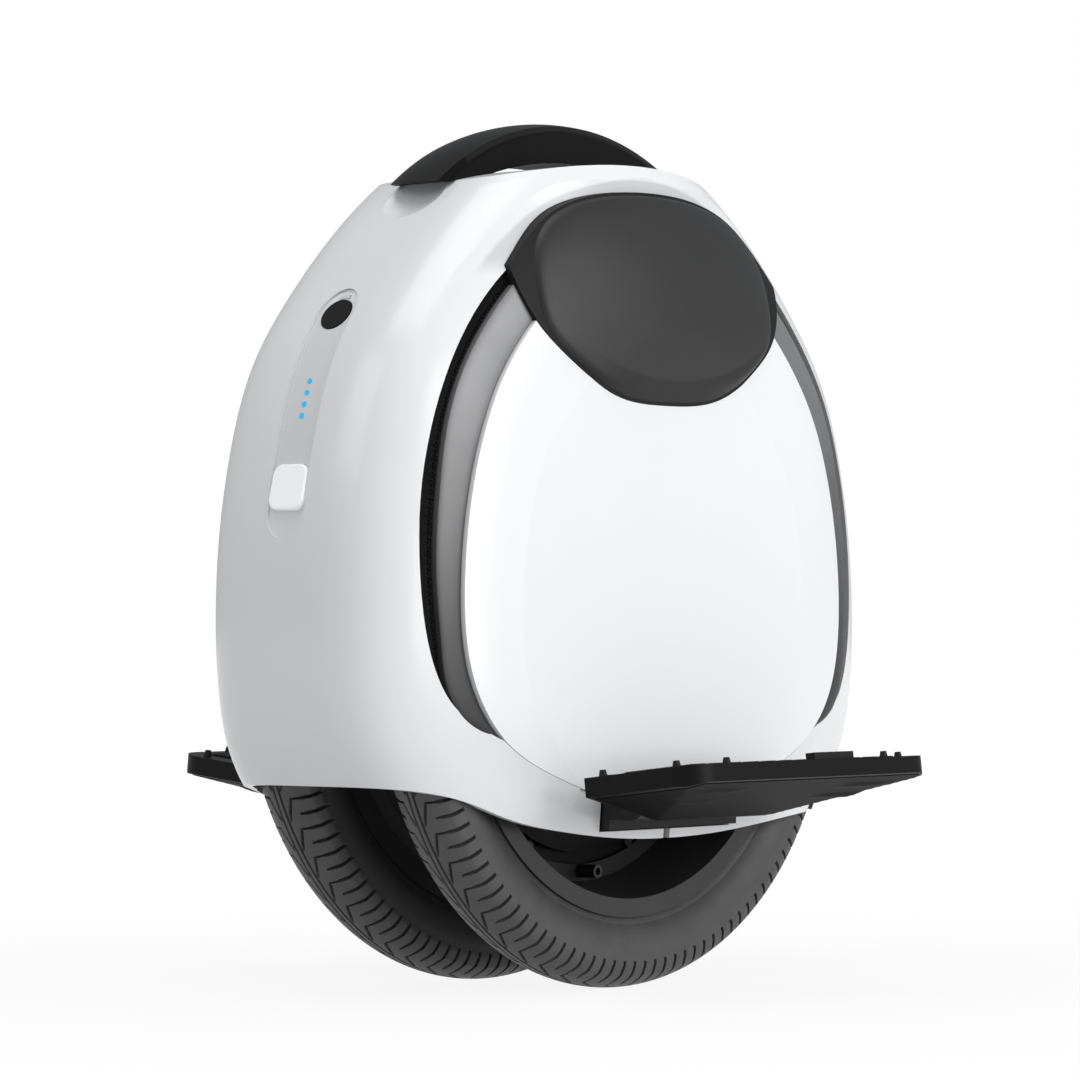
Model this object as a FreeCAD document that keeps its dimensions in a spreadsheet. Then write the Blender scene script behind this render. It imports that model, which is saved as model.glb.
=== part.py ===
import FreeCAD, Part
import math
import os
import Sketcher
from FreeCAD import Placement, Rotation, Vector

# Electric unicycle with a twin-tyre wheel, millimetres.
# X runs forward to the control face, Y along the axle, Z up from the floor under the axle.

doc = FreeCAD.newDocument("electric_unicycle")
sheet = doc.addObject("Spreadsheet::Sheet", "Sizes")

SIZES = [
    # casing form: one egg outline, crowned across the width
    ("egg_half_length", 207.0), ("egg_top", 468.0), ("egg_height", 478.0), ("egg_centre", 205.0),
    ("crown_half_width", 86.5), ("crown_power", 4.0), ("wall", 3.5), ("frame_wall", 3.5),
    ("panel_proud", 2.0), ("bezel_proud", 0.5), ("pad_base_proud", 2.5), ("pad_proud", 8.5), ("pad_round", 4.0),
    ("pad_end_radius", 96.0),
    # side outlines
    ("opening_half_length", 178.0), ("opening_top", 424.5), ("opening_height", 317.5),
    ("panel_half_length", 155.0), ("panel_top", 396.0), ("panel_height", 297.0),
    ("bezel_half_length", 170.0),
    ("pad_half_length", 110.0), ("pad_top", 425.0), ("pad_height", 113.8),
    ("seam", 0.3), ("frame_overlap", 8.0), ("bezel_foot", 137.0), ("strip_foot", 180.0),
    ("strip_height", 1.2), ("strip_side_room", 1.0), ("pad_inset", 1.2), ("sill_width", 12.5), ("sill_root", 2.5),
    ("crest_width", 8.5), ("crest_depth", 3.0), ("crest_lap", 1.0),
    # lower edge of the casing
    ("front_edge", 110.0), ("rear_edge", 91.0), ("skirt_edge", 81.0), ("slit_width", 5.0),
    # top of the casing and its handle
    ("deck_height", 440.0), ("deck_drop", 11.5), ("deck_half_length", 98.0),
    ("well_radius", 44.0), ("well_half_length", 20.0), ("well_axis", 455.0),
    ("dish_radius", 48.0), ("dish_depth", 4.0), ("dish_height", 421.0),
    ("pad_root", 69.8), ("facet_foot", 372.0), ("facet_backing", 3.0),
    ("handle_top", 467.0), ("handle_half_width", 20.0), ("grip_thickness", 5.0), ("handle_bevel", 3.0),
    ("handle_crown", 3.5), ("handle_half_length", 109.0), ("grip_half_length", 84.0),
    ("arch_height", 444.5), ("arch_half_length", 70.0), ("arch_foot", 433.6),
    ("handle_screw_radius", 2.5), ("handle_screw_head", 4.5), ("handle_screw_length", 7.5),
    ("handle_screw_x", 76.0), ("handle_screw_y", 11.0), ("screw_head_height", 3.0),
    # control face
    ("channel_half_width", 13.0), ("channel_foot", 252.0), ("channel_head", 357.0), ("channel_depth", 1.4),
    ("button_height", 266.0), ("button_width", 24.0), ("button_corner", 6.0), ("button_gap", 0.35),
    ("button_proud", 0.9), ("button_flange", 2.0), ("button_flange_depth", 5.6), ("button_flange_thickness", 1.5),
    ("button_round", 1.0), ("button_travel", 1.2),
    ("lens_top", 321.0), ("lens_pitch", 6.0), ("lens_radius", 1.6), ("lens_proud", 0.3),
    ("board_depth", 12.0), ("board_thickness", 1.6), ("board_half_width", 12.0), ("board_length", 84.0),
    ("switch_width", 12.0), ("port_height", 357.0), ("flap_radius", 9.5), ("flap_thickness", 2.2),
    ("flap_depth", 1.0), ("flap_gap", 0.4), ("flap_pin_radius", 1.2), ("flap_pin_length", 6.4),
    ("flap_pin_offset", 11.2), ("boss_radius", 14.5), ("boss_depth", 10.0), ("socket_radius", 8.0),
    ("socket_bore", 5.5), ("socket_length", 14.0), ("socket_floor", 4.0), ("socket_nut_radius", 11.0),
    ("socket_nut_thickness", 3.0), ("socket_contact_radius", 1.0), ("socket_contact_orbit", 2.8),
    # wheel
    ("tyre_radius", 175.0), ("tyre_centre", 48.0), ("tyre_half_width", 20.3), ("tyre_belly_radius", 153.0),
    ("shoulder_radius", 168.0), ("shoulder_half_width", 17.5), ("tyre_wall", 5.0), ("bead_half_width", 11.0),
    ("bead_radius", 129.5),
    ("rim_lip_radius", 137.0), ("rim_face", 62.0), ("rim_back", 34.0), ("rim_lip_width", 2.6),
    ("rim_bore_face", 127.0), ("rim_bore_back", 119.0), ("rim_well_radius", 125.0), ("rim_barrel_wall", 3.0),
    ("tube_wall", 1.5), ("tube_radius", 13.4), ("tube_centre_radius", 149.5),
    ("valve_orbit", 113.5), ("valve_radius", 3.6), ("valve_bore", 2.0), ("valve_length", 13.0), ("valve_seat", 4.5),
    # hub motor
    ("ring_half_width", 23.0), ("ring_inner_radius", 110.0), ("yoke_radius", 104.0), ("magnet_thickness", 3.0),
    ("magnet_half_width", 14.0), ("air_gap", 0.7), ("stator_half_width", 13.0), ("stator_bore", 44.0),
    ("stator_back", 74.0), ("tooth_width", 7.0), ("tooth_tip", 3.0), ("slot_mouth", 2.6), ("coil_thickness", 2.0),
    ("coil_gap", 0.4), ("spider_half_width", 5.0), ("spider_hole_radius", 7.0),
    ("cover_thickness", 4.0), ("cover_edge_radius", 103.5), ("cover_edge", 26.0), ("cover_inner", 17.0),
    ("cover_boss_radius", 30.0), ("cover_boss", 41.0), ("cover_groove_floor", 20.0),
    ("bearing_radius", 17.5), ("bearing_width", 10.0), ("axle_radius", 8.5), ("axle_seat_radius", 12.0),
    ("axle_seat_half", 22.0), ("axle_end_radius", 7.0), ("axle_half_length", 77.0), ("axle_flat", 5.2),
    ("axle_step", 58.0), ("running_clearance", 0.05), ("nut_across", 22.0), ("nut_thickness", 6.8),
    ("cover_bolt_radius", 2.0), ("cover_bolt_head", 3.2), ("cover_bolt_orbit", 106.8), ("cover_bolt_length", 9.0),
    # hangers, hinge brackets and pedals
    ("hanger_face", 70.0), ("hanger_thickness", 6.5), ("hanger_foot_half", 46.0), ("hanger_foot", 86.5),
    ("hanger_foot_height", 30.0), ("hanger_waist_half", 26.0), ("hanger_arm_half", 56.0), ("hanger_arm_height", 74.0),
    ("hanger_arm_width", 20.0), ("hanger_crotch", 34.0), ("hanger_boss_radius", 8.0), ("hanger_bolt_radius", 2.5),
    ("hanger_bolt_head", 4.4), ("hanger_bolt_head_height", 3.0),
    ("hinge_y", 104.0), ("hinge_z", 102.0), ("bracket_foot", 87.0),
    ("bracket_height", 28.0), ("bracket_face_gap", 15.0), ("lug_inner", 40.0), ("lug_width", 13.0),
    ("lug_radius", 9.5), ("window_room", 1.0), ("hinge_pin_radius", 4.0), ("hinge_pin_head", 1.0),
    ("bracket_bolt_radius", 3.0), ("bracket_bolt_head", 5.0), ("bracket_bolt_x", 30.0), ("bracket_bolt_z", 8.0),
    ("pedal_half_length", 100.0), ("pedal_reach", 84.0), ("pedal_inner", 10.0), ("pedal_top", 13.0),
    ("pedal_outer_depth", 9.0), ("pedal_inner_depth", 24.0), ("pedal_plate", 4.5), ("pedal_rim", 6.0),
    ("pedal_rib", 3.0), ("pedal_end_depth", 10.0), ("pedal_deep_half", 45.0), ("pedal_corner", 16.0), ("pedal_tilt", 6.5), ("knuckle_half_length", 39.3),
    ("knuckle_radius", 9.0), ("mat_inset", 14.0), ("mat_thickness", 1.5), ("mat_corner", 8.0),
    ("stud_radius", 2.4), ("stud_tip_radius", 1.6), ("stud_height", 3.5), ("stud_inset", 7.0),
    ("bumper_length", 33.0), ("bumper_width", 6.0), ("bumper_height", 4.0), ("bumper_offset", 19.0),
    # inside the top of the casing
    ("tyre_room", 6.0), ("tyre_gap", 3.0), ("arch_wall", 3.0), ("arch_end", 128.0), ("side_room", 1.6),
    ("pack_length", 80.0), ("pack_depth", 40.0), ("pack_width", 70.0), ("pack_round", 5.0), ("pack_lean", 24.0),
    ("sink_length", 64.0), ("sink_width", 76.0), ("sink_plate", 4.0), ("fin_height", 7.0), ("fin_thickness", 2.0),
    ("main_board_margin", 4.0), ("capacitor_radius", 6.0), ("capacitor_height", 20.0), ("transistor_size", 10.0),
    ("transistor_thickness", 4.5),
    ("cable_radius", 3.0), ("cable_bend", 9.0), ("cable_outlet", 53.0), ("cable_side", 72.4), ("cable_entry", 22.0),
]

row = 0
for alias, number in SIZES:
    row += 1
    sheet.set("A%d" % row, alias)
    sheet.set("B%d" % row, str(number))
    sheet.setAlias("B%d" % row, alias)
doc.recompute()


class Length:
    """A sheet value, or a sum or share of sheet values, with its number and its sheet formula."""

    def __init__(self, number, formula):
        self.number = number
        self.formula = formula

    def __float__(self):
        return self.number

    def __add__(self, other):
        other = length(other)
        return Length(self.number + other.number, "(%s + %s)" % (self.formula, other.formula))

    def __sub__(self, other):
        other = length(other)
        return Length(self.number - other.number, "(%s - %s)" % (self.formula, other.formula))

    def __mul__(self, share):
        share = length(share)
        return Length(self.number * share.number, "(%s * %s)" % (self.formula, share.formula))

    def __truediv__(self, share):
        share = length(share)
        return Length(self.number / share.number, "(%s / %s)" % (self.formula, share.formula))

    def __neg__(self):
        return Length(-self.number, "(-%s)" % self.formula)

    __radd__ = __add__


def length(value):
    if isinstance(value, Length):
        return value
    return Length(float(value), "%r" % float(value))


class Table:
    """Gives each sheet value by its alias."""

    def __getattr__(self, alias):
        return Length(float(sheet.get(alias)), "Sizes.%s" % alias)


dim = Table()
ZERO = length(0)
NODES = []


def vec(x, y, z):
    return Vector(float(x), float(y), float(z))


def bind(thing, **sizes):
    for name, value in sizes.items():
        thing.setExpression(name, length(value).formula)


def node(thing, label):
    """Names a finished piece and lists it for export."""
    thing.Label = label
    NODES.append(thing)
    return thing


def feature(name, shape):
    thing = doc.addObject("Part::Feature", name + "_shape")
    thing.Shape = shape
    return thing


def cut(name, base, *tools):
    for tool in tools:
        result = doc.addObject("Part::Cut", name + "_step")
        result.Base = base
        result.Tool = tool
        base = result
    return base


def common(name, base, tool):
    result = doc.addObject("Part::Common", name + "_step")
    result.Base = base
    result.Tool = tool
    return result


def fuse(name, *parts):
    result = doc.addObject("Part::MultiFuse", name + "_step")
    result.Shapes = list(parts)
    return result


def block(name, x_size, y_size, z_size, x_low, y_low, z_low):
    box = doc.addObject("Part::Box", name)
    bind(box, Length=x_size, Width=y_size, Height=z_size)
    box.Placement = Placement(vec(x_low, y_low, z_low), Rotation())
    return box


def rod(name, radius, height, placement):
    cylinder = doc.addObject("Part::Cylinder", name)
    bind(cylinder, Radius=radius, Height=height)
    cylinder.Placement = placement
    return cylinder


def mirrored(source, label):
    """The same piece on the other side of the centre plane."""
    copy = doc.addObject("Part::Mirroring", label + "_mirror")
    copy.Source = source
    copy.Normal = Vector(0, 1, 0)
    copy.Base = Vector(0, 0, 0)
    return node(copy, label)


def pair(thing, name):
    node(thing, name + "_left")
    return mirrored(thing, name + "_right")


# Sketch helpers: a path is a list of corner points (x, y), or (mid_x, mid_y, x, y) for an arc to (x, y).


def new_body(name):
    return doc.addObject("PartDesign::Body", name)


def hold(sketch, place, point, x, y):
    """Ties one sketch point to its two coordinates."""
    for kind, axis, value in (("DistanceX", -2, x), ("DistanceY", -1, y)):
        value = length(value)
        if value.formula == ZERO.formula:
            sketch.addConstraint(Sketcher.Constraint("PointOnObject", place, point, axis))
        else:
            number = sketch.addConstraint(Sketcher.Constraint(kind, -1, 1, place, point, value.number))
            sketch.setExpression("Constraints[%d]" % number, value.formula)


def draw(sketch, path):
    starts = [(step[-2], step[-1]) for step in path]
    first = sketch.GeometryCount
    ends = []
    mids = []
    for number in range(len(path)):
        begin = starts[number]
        step = path[(number + 1) % len(path)]
        a = vec(begin[0], begin[1], 0)
        b = vec(step[-2], step[-1], 0)
        if len(step) == 4:
            mid = vec(step[0], step[1], 0)
            leftward = (mid - a).cross(b - mid).z > 0
            place = sketch.addGeometry(Part.Arc(a, mid, b) if leftward else Part.Arc(b, mid, a))
            ends.append((1, 2) if leftward else (2, 1))
            mids.append((place, step[0], step[1]))
        else:
            place = sketch.addGeometry(Part.LineSegment(a, b))
            ends.append((1, 2))
    count = len(path)
    for number in range(count):
        after = (number + 1) % count
        pin = Sketcher.Constraint("Coincident", first + number, ends[number][1], first + after, ends[after][0])
        sketch.addConstraint(pin)
        hold(sketch, first + number, ends[number][0], starts[number][0], starts[number][1])
    for place, x, y in mids:
        dot = sketch.addGeometry(Part.Point(vec(x, y, 0)), True)
        sketch.addConstraint(Sketcher.Constraint("PointOnObject", dot, 1, place))
        hold(sketch, dot, 1, x, y)


def draw_circle(sketch, x, y, radius):
    place = sketch.addGeometry(Part.Circle(vec(x, y, 0), Vector(0, 0, 1), float(radius)))
    hold(sketch, place, 3, x, y)
    number = sketch.addConstraint(Sketcher.Constraint("Radius", place, float(radius)))
    sketch.setExpression("Constraints[%d]" % number, length(radius).formula)


def sketch_on(body, plane, paths=(), circles=(), lift=ZERO):
    sketch = body.newObject("Sketcher::SketchObject", body.Name + "_sketch")
    support = [item for item in body.Origin.OriginFeatures if item.Role == plane + "_Plane"][0]
    sketch.AttachmentSupport = [(support, "")]
    sketch.MapMode = "FlatFace"
    for path in paths:
        draw(sketch, path)
    for circle in circles:
        draw_circle(sketch, *circle)
    if lift.formula != ZERO.formula:
        sketch.setExpression("AttachmentOffset.Base.z", lift.formula)
    return sketch


def pad(body, sketch, depth, both=False, flip=False):
    step = body.newObject("PartDesign::Pad", body.Name + "_pad")
    step.Profile = sketch
    step.SideType = "Symmetric" if both else "One side"
    step.Reversed = flip
    bind(step, Length=depth)
    return step


def pocket(body, sketch, depth=None, both=False, flip=False):
    step = body.newObject("PartDesign::Pocket", body.Name + "_pocket")
    step.Profile = sketch
    step.SideType = "Symmetric" if both else "One side"
    step.Reversed = flip
    if depth is None:
        step.Type = "ThroughAll"
    else:
        bind(step, Length=depth)
    return step


def spin(body, sketch):
    step = body.newObject("PartDesign::Revolution", body.Name + "_spin")
    step.Profile = sketch
    step.ReferenceAxis = (sketch, ["H_Axis"])
    return step


def round_edges(body, step, chosen, radius, kind="PartDesign::Fillet"):
    """Rounds the edges of the last step for which chosen(edge) holds."""
    doc.recompute()
    names = []
    for number, edge in enumerate(step.Shape.Edges, 1):
        if chosen(edge):
            names.append("Edge%d" % number)
    rounding = body.newObject(kind, body.Name + "_round")
    rounding.Base = (step, names)
    bind(rounding, Radius=radius)
    return rounding


def polar(body, step, count):
    doc.recompute()
    pattern = body.newObject("PartDesign::PolarPattern", body.Name + "_ring")
    pattern.Originals = [step]
    axis = [item for item in body.Origin.OriginFeatures if item.Role == "Y_Axis"][0]
    pattern.Axis = (axis, [""])
    pattern.Occurrences = count
    body.Tip = pattern
    return pattern


def same(a, b):
    return abs(float(a) - float(b)) < float(dim.seam) * CLOSE_SHARE


CLOSE_SHARE = 0.1
CROWN_SHARE = 0.45


def at_axle(body):
    bind(body, **{"Placement.Base.z": dim.tyre_radius})
    return body


def turned(name, path):
    """A body turned about the axle from a path of (y, radius) points."""
    body = at_axle(new_body(name))
    spin(body, sketch_on(body, "YZ", [path]))
    return body


# The casing form. Egg outline: half of it from the top over the front to the bottom, mirrored for the rear.

EGG_SHARES = [
    (0.0, 1.0), (0.304, 0.962), (0.531, 0.893), (0.725, 0.808), (0.86, 0.728), (0.942, 0.632), (0.986, 0.533),
    (1.0, 0.439), (0.99, 0.351), (0.952, 0.282), (0.83, 0.205), (0.604, 0.094), (0.0, 0.0),
]
OPENING_SHARES = [
    (0.0, 0.97), (0.225, 0.958), (0.42, 0.925), (0.598, 0.864), (0.745, 0.786), (0.829, 0.724), (0.904, 0.647),
    (0.95, 0.576), (0.989, 0.476), (1.0, 0.38), (0.99, 0.285), (0.952, 0.199), (0.898, 0.149), (0.8, 0.111),
    (0.688, 0.083), (0.42, 0.045), (0.0, 0.03),
]
BEZEL_SHARES = [
    (0.0, 0.94), (0.3, 0.925), (0.5, 0.885), (0.63, 0.833), (0.761, 0.761), (0.861, 0.688), (0.927, 0.611),
    (0.974, 0.5), (0.998, 0.36), (0.985, 0.25), (0.952, 0.165), (0.888, 0.122), (0.79, 0.097), (0.5, 0.055),
    (0.0, 0.04),
]
PANEL_SHARES = [
    (0.0, 1.0), (0.36, 0.966), (0.6, 0.872), (0.71, 0.814), (0.83, 0.73), (0.908, 0.644), (0.97, 0.53), (1.0, 0.41),
    (0.998, 0.31), (0.96, 0.223), (0.886, 0.157), (0.786, 0.109), (0.6, 0.061), (0.33, 0.018), (0.0, 0.0),
]
PAD_UPPER_SHARES = [(1.0, 0.613), (0.873, 0.735), (0.7, 0.868), (0.42, 0.965), (0.0, 1.0)]
PAD_LOWER_SHARES = [(0.0, 0.0), (0.4, 0.04), (0.69, 0.187), (0.89, 0.352), (0.965, 0.48), (1.0, 0.613)]
STATION_SHARES = [0.0, 0.35, 0.58, 0.72, 0.81, 0.885, 0.94, 0.975]


def spread(point, growth):
    """Moves an outline point away from the egg's centre by growth."""
    reach = math.hypot(point[0], point[1])
    factor = 1 + growth / reach
    return point[0] * factor, point[1] * factor


def scaled(shares, half_length, top, height, growth):
    """Outline points about the egg's centre, from the top over the front to the bottom."""
    points = []
    for x_share, z_share in shares:
        z = float(top) - float(height) * (1 - z_share) - float(dim.egg_centre)
        points.append(spread((float(half_length) * x_share, z), float(growth)))
    return points


def closed_wire(half, y):
    """A smooth closed outline at the given y from its front half, level at its top and bottom."""
    forward = Vector(1, 0, 0)
    rear = [(-x, z) for x, z in half[::-1]]
    edges = []
    for points, way in ((half, 1), (rear, -1)):
        curve = Part.BSplineCurve()
        places = [Vector(x, y, z + float(dim.egg_centre)) for x, z in points]
        curve.interpolate(places, InitialTangent=forward * way, FinalTangent=forward * -way, Scale=False)
        edges.append(curve.toShape())
    return Part.Wire(edges)


def crown_body(growth):
    """The full egg-shaped form, grown or shrunk by growth."""
    half_width = float(dim.crown_half_width + growth)
    power = float(dim.crown_power)
    half = scaled(EGG_SHARES, dim.egg_half_length, dim.egg_top, dim.egg_height, growth)
    wires = []
    for share in [-share for share in STATION_SHARES[:0:-1]] + STATION_SHARES:
        size = (1 - abs(share) ** power) ** (1 / power)
        section = [(x * size, z * size) for x, z in half]
        wires.append(closed_wire(section, share * half_width))
    return Part.makeLoft(wires, True, False)


def side_prism(wire):
    """Extrudes a side outline outward from the centre plane on the left."""
    reach = dim.crown_half_width + dim.pad_proud + dim.pad_proud
    return Part.Face(wire).extrude(vec(0, reach, 0))


def opening_wire(growth=ZERO):
    return closed_wire(scaled(OPENING_SHARES, dim.opening_half_length, dim.opening_top, dim.opening_height, growth), 0)


def bezel_wire(growth=ZERO):
    return closed_wire(scaled(BEZEL_SHARES, dim.bezel_half_length, dim.opening_top, dim.opening_height, growth), 0)


def panel_wire(growth=ZERO):
    return closed_wire(scaled(PANEL_SHARES, dim.panel_half_length, dim.panel_top, dim.panel_height, growth), 0)


def pad_wire(growth=ZERO, y=ZERO):
    """Leaf outline of the knee pad, with a corner at each end."""
    edges = []
    for shares in (PAD_UPPER_SHARES, PAD_LOWER_SHARES):
        half = []
        for x_share, z_share in shares:
            z = float(dim.pad_top) - float(dim.pad_height) * (1 - z_share)
            half.append((float(dim.pad_half_length) * x_share, z))
        middle = float(dim.pad_top) - float(dim.pad_height) * PAD_CENTRE_SHARE
        moved = []
        for x, z in half:
            x, z = spread((x, z - middle), float(growth))
            moved.append(vec(x, y, z + middle))
        flipped = [Vector(-point.x, point.y, point.z) for point in moved]
        if shares is PAD_UPPER_SHARES:
            places = moved + flipped[-2::-1]
        else:
            places = flipped[::-1] + moved[1:]
        curve = Part.BSplineCurve()
        curve.interpolate(places)
        edges.append(curve.toShape())
    return Part.Wire(Part.__sortEdges__(edges))


PAD_CENTRE_SHARE = 0.48

form = crown_body(ZERO)
form_wall = crown_body(-dim.wall)
form_frame = crown_body(-(dim.wall + dim.frame_wall))
form_panel = crown_body(dim.panel_proud)
form_bezel = crown_body(dim.bezel_proud)
form_channel = crown_body(-dim.channel_depth)
form_strip = crown_body(dim.strip_height - dim.wall)
form_seat = crown_body(dim.seam - dim.wall)
form_pad_base = crown_body(dim.pad_base_proud)
form_pad = crown_body(dim.pad_proud)
form_facet = crown_body(-(dim.wall + dim.facet_backing))

egg_curve = closed_wire(scaled(EGG_SHARES, dim.egg_half_length, dim.egg_top, dim.egg_height, ZERO), 0).Edges[0].Curve


def on_front(height):
    """Point of the front centre line at a height, and its outward normal."""
    low = egg_curve.FirstParameter
    high = egg_curve.LastParameter
    for turn in range(60):
        middle = (low + high) / 2
        if egg_curve.value(middle).z > float(height):
            low = middle
        else:
            high = middle
    along = egg_curve.tangent(low)[0]
    return egg_curve.value(low), Vector(-along.z, 0, along.x)


def facing(point, normal):
    """Placement at a point with its z axis along the normal and its y axis along the axle."""
    return Placement(point, Rotation(Vector(0, 1, 0), math.degrees(math.atan2(normal.x, normal.z))))


def moved(placement, x, y, z):
    return placement.multiply(Placement(vec(x, y, z), Rotation()))


# Main casing: front, top, rear and skirts in one moulding.

BEYOND = dim.egg_half_length + dim.egg_half_length
ACROSS = dim.crown_half_width + dim.crown_half_width
EDGE_SHARES = [
    (1.15, 1.0), (0.82, 1.0), (0.7, 0.8), (0.57, 0.47), (0.4, 0.22), (0.2, 0.05), (0.0, 0.0), (-0.25, 0.2),
    (-0.55, 0.75), (-0.8, 1.0), (-1.15, 1.0),
]


def below_edge():
    """Everything under the lower edge: level at front and rear, sagging to the skirts between."""
    places = []
    for x_share, rise_share in EDGE_SHARES:
        end = dim.front_edge if x_share > 0 else dim.rear_edge
        z = dim.skirt_edge + (end - dim.skirt_edge) * rise_share
        places.append(vec(dim.egg_half_length * x_share, -ACROSS, z))
    curve = Part.BSplineCurve()
    curve.interpolate(places)
    low = dim.egg_top - dim.egg_height - dim.wall
    corner_rear = vec(places[-1].x, -ACROSS, low)
    corner_front = vec(places[0].x, -ACROSS, low)
    edges = [curve.toShape(), Part.makeLine(places[-1], corner_rear)]
    edges += [Part.makeLine(corner_rear, corner_front), Part.makeLine(corner_front, places[0])]
    return Part.Face(Part.Wire(edges)).extrude(vec(0, ACROSS + ACROSS, 0))


def deck_arc(y):
    end = dim.deck_height - dim.deck_drop
    left = vec(-dim.deck_half_length, y, end)
    right = vec(dim.deck_half_length, y, end)
    return Part.Arc(left, vec(0, y, dim.deck_height), right)


def above_deck():
    """Everything over the gently arched deck on which the handle stands."""
    arc = deck_arc(-ACROSS)
    up = dim.egg_top + dim.wall
    left = arc.StartPoint
    right = arc.EndPoint
    far_left = vec(-BEYOND, -ACROSS, left.z)
    far_right = vec(BEYOND, -ACROSS, right.z)
    top_right = vec(BEYOND, -ACROSS, up)
    top_left = vec(-BEYOND, -ACROSS, up)
    corners = [right, far_right, top_right, top_left, far_left, left]
    edges = [arc.toShape()]
    for number in range(len(corners) - 1):
        edges.append(Part.makeLine(corners[number], corners[number + 1]))
    return Part.Face(Part.Wire(edges)).extrude(vec(0, ACROSS + ACROSS, 0))


def slab(x_size, y_size, z_size, x_low, y_low, z_low):
    return Part.makeBox(float(x_size), float(y_size), float(z_size), vec(x_low, y_low, z_low))


def drum(radius, height, placement):
    solid = Part.makeCylinder(float(radius), float(height))
    solid.Placement = placement
    return solid


def well(growth):
    """Capsule-shaped finger well under the handle."""
    radius = dim.well_radius + growth
    start = Placement(vec(-dim.well_half_length, 0, dim.well_axis), Rotation(Vector(0, 1, 0), 90))
    ends = [Part.makeSphere(float(radius), vec(dim.well_half_length * side, 0, dim.well_axis)) for side in (-1, 1)]
    return drum(radius, dim.well_half_length * 2, start).fuse(ends)


def dish(side, growth):
    """Shallow round hollow in the casing at the foot of the handle."""
    point, normal = on_front(dim.dish_height)
    out = float(dim.dish_radius - dim.dish_depth)
    middle = Vector((point.x + normal.x * out) * side, 0, point.z + normal.z * out)
    return Part.makeSphere(float(dim.dish_radius + growth), middle)


def two_sides(solid):
    """A left tool and its mirror image."""
    return [solid, solid.mirror(Vector(0, 0, 0), Vector(0, 1, 0))]


window_bottom = dim.bracket_foot - dim.window_room
window_height = dim.bracket_height + dim.window_room * 2
window_half = dim.lug_inner + dim.lug_width + dim.window_room
window = slab(window_half * 2, dim.crown_half_width, window_height, -window_half, dim.hanger_face, window_bottom)

opening = side_prism(opening_wire())
bezel_place = side_prism(bezel_wire(dim.strip_side_room))
pad_place = side_prism(pad_wire(dim.seam))
panel_place = side_prism(panel_wire(dim.seam))


def wheel_room():
    """Room for the two tyres, turned about the axle from their outline with a gap."""
    side = dim.tyre_centre + dim.tyre_half_width + dim.side_room
    shoulder = dim.tyre_centre + dim.shoulder_half_width + dim.side_room
    top = dim.tyre_radius + dim.tyre_gap
    half = [(side, ZERO), (side, dim.tyre_belly_radius),
            (shoulder, dim.shoulder_radius + dim.side_room), (dim.tyre_centre, top)]
    right = [vec(0, y, dim.tyre_radius + radius) for y, radius in half]
    left = [Vector(0, -place.y, place.z) for place in right]
    edges = [Part.makeLine(left[0], right[0]), Part.makeLine(right[0], right[1]), Part.Arc(*right[1:]).toShape(),
             Part.makeLine(right[3], left[3]), Part.Arc(*left[:0:-1]).toShape(), Part.makeLine(left[1], left[0])]
    return Part.Face(Part.Wire(edges)).revolve(vec(0, 0, dim.tyre_radius), Vector(0, 1, 0), 360)


tyre_space = wheel_room()

port_point, port_normal = on_front(dim.port_height)
port = facing(port_point, port_normal)
panel_point, panel_normal = on_front((dim.button_height + dim.lens_top) / 2)
controls = facing(panel_point, panel_normal)

outer = form.cut(above_deck())
hollow = outer.cut(form_wall)
lowered = above_deck()
lowered.translate(vec(0, 0, -dim.wall))
facet_box = slab(BEYOND, dim.crown_half_width, dim.egg_height,
                 -dim.egg_half_length, dim.crown_half_width / 2, dim.facet_foot)
facet_ring = side_prism(opening_wire(dim.frame_overlap * 2)).common(facet_box).common(outer).cut(form_facet)
boss = drum(dim.boss_radius, dim.boss_depth, moved(port, 0, 0, -dim.boss_depth))
solids = [dish(1, dim.wall), dish(-1, dim.wall), well(dim.wall), lowered, boss]
backings = [outer.common(solid) for solid in solids]
shell = hollow.fuse(backings + two_sides(facet_ring))



def on_side(x, z):
    """Distance of the casing form from the centre plane at a point of the side view."""
    needle = Part.makeLine(vec(x, 0, z), vec(x, ACROSS, z))
    return form.common(needle).BoundBox.YMax


def beside(edge, place_share, upward):
    """A point along an outline, and the direction across it, upward or downward."""
    place = edge.FirstParameter + (edge.LastParameter - edge.FirstParameter) * place_share
    along = edge.tangentAt(place)
    away = Vector(along.z, 0, -along.x)
    if (away.z < 0) == upward:
        away = -away
    return edge.valueAt(place), away


CREST_SHARES = [
    (0.0, 0.08), (0.06, 0.5), (0.14, 1.0), (0.3, 1.0), (0.5, 1.0), (0.7, 1.0), (0.86, 1.0), (0.94, 0.5), (1.0, 0.08),
]
CREST_REACH_SHARE = 1.3
SILL_SHARES = [(0.65, -0.25), (0.68, 0.1), (0.71, 0.5), (0.75, 0.9), (0.8, 1.0), (0.85, 1.0)]


def crest_cut():
    """Bevel over the knee pad: deepest at the pad, running out in the side of the casing."""
    edge = max(pad_wire(dim.seam).Edges, key=lambda item: item.CenterOfMass.z)
    wires = []
    for place_share, size_share in CREST_SHARES:
        point, away = beside(edge, place_share, True)
        outer = point + away * float(dim.crest_width * size_share)
        inner = point - away * float(dim.crest_lap)
        foot = Vector(inner.x, on_side(inner.x, inner.z) - float(dim.crest_depth * size_share), inner.z)
        brow = Vector(outer.x, on_side(outer.x, outer.z), outer.z)
        brow = foot + (brow - foot) * CREST_REACH_SHARE
        high = float(dim.crown_half_width + dim.pad_proud)
        corners = [brow, foot, Vector(foot.x, high, foot.z), Vector(brow.x, high, brow.z)]
        wires.append(Part.makePolygon(corners + corners[:1]))
    return Part.makeLoft(wires, True, False)


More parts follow.
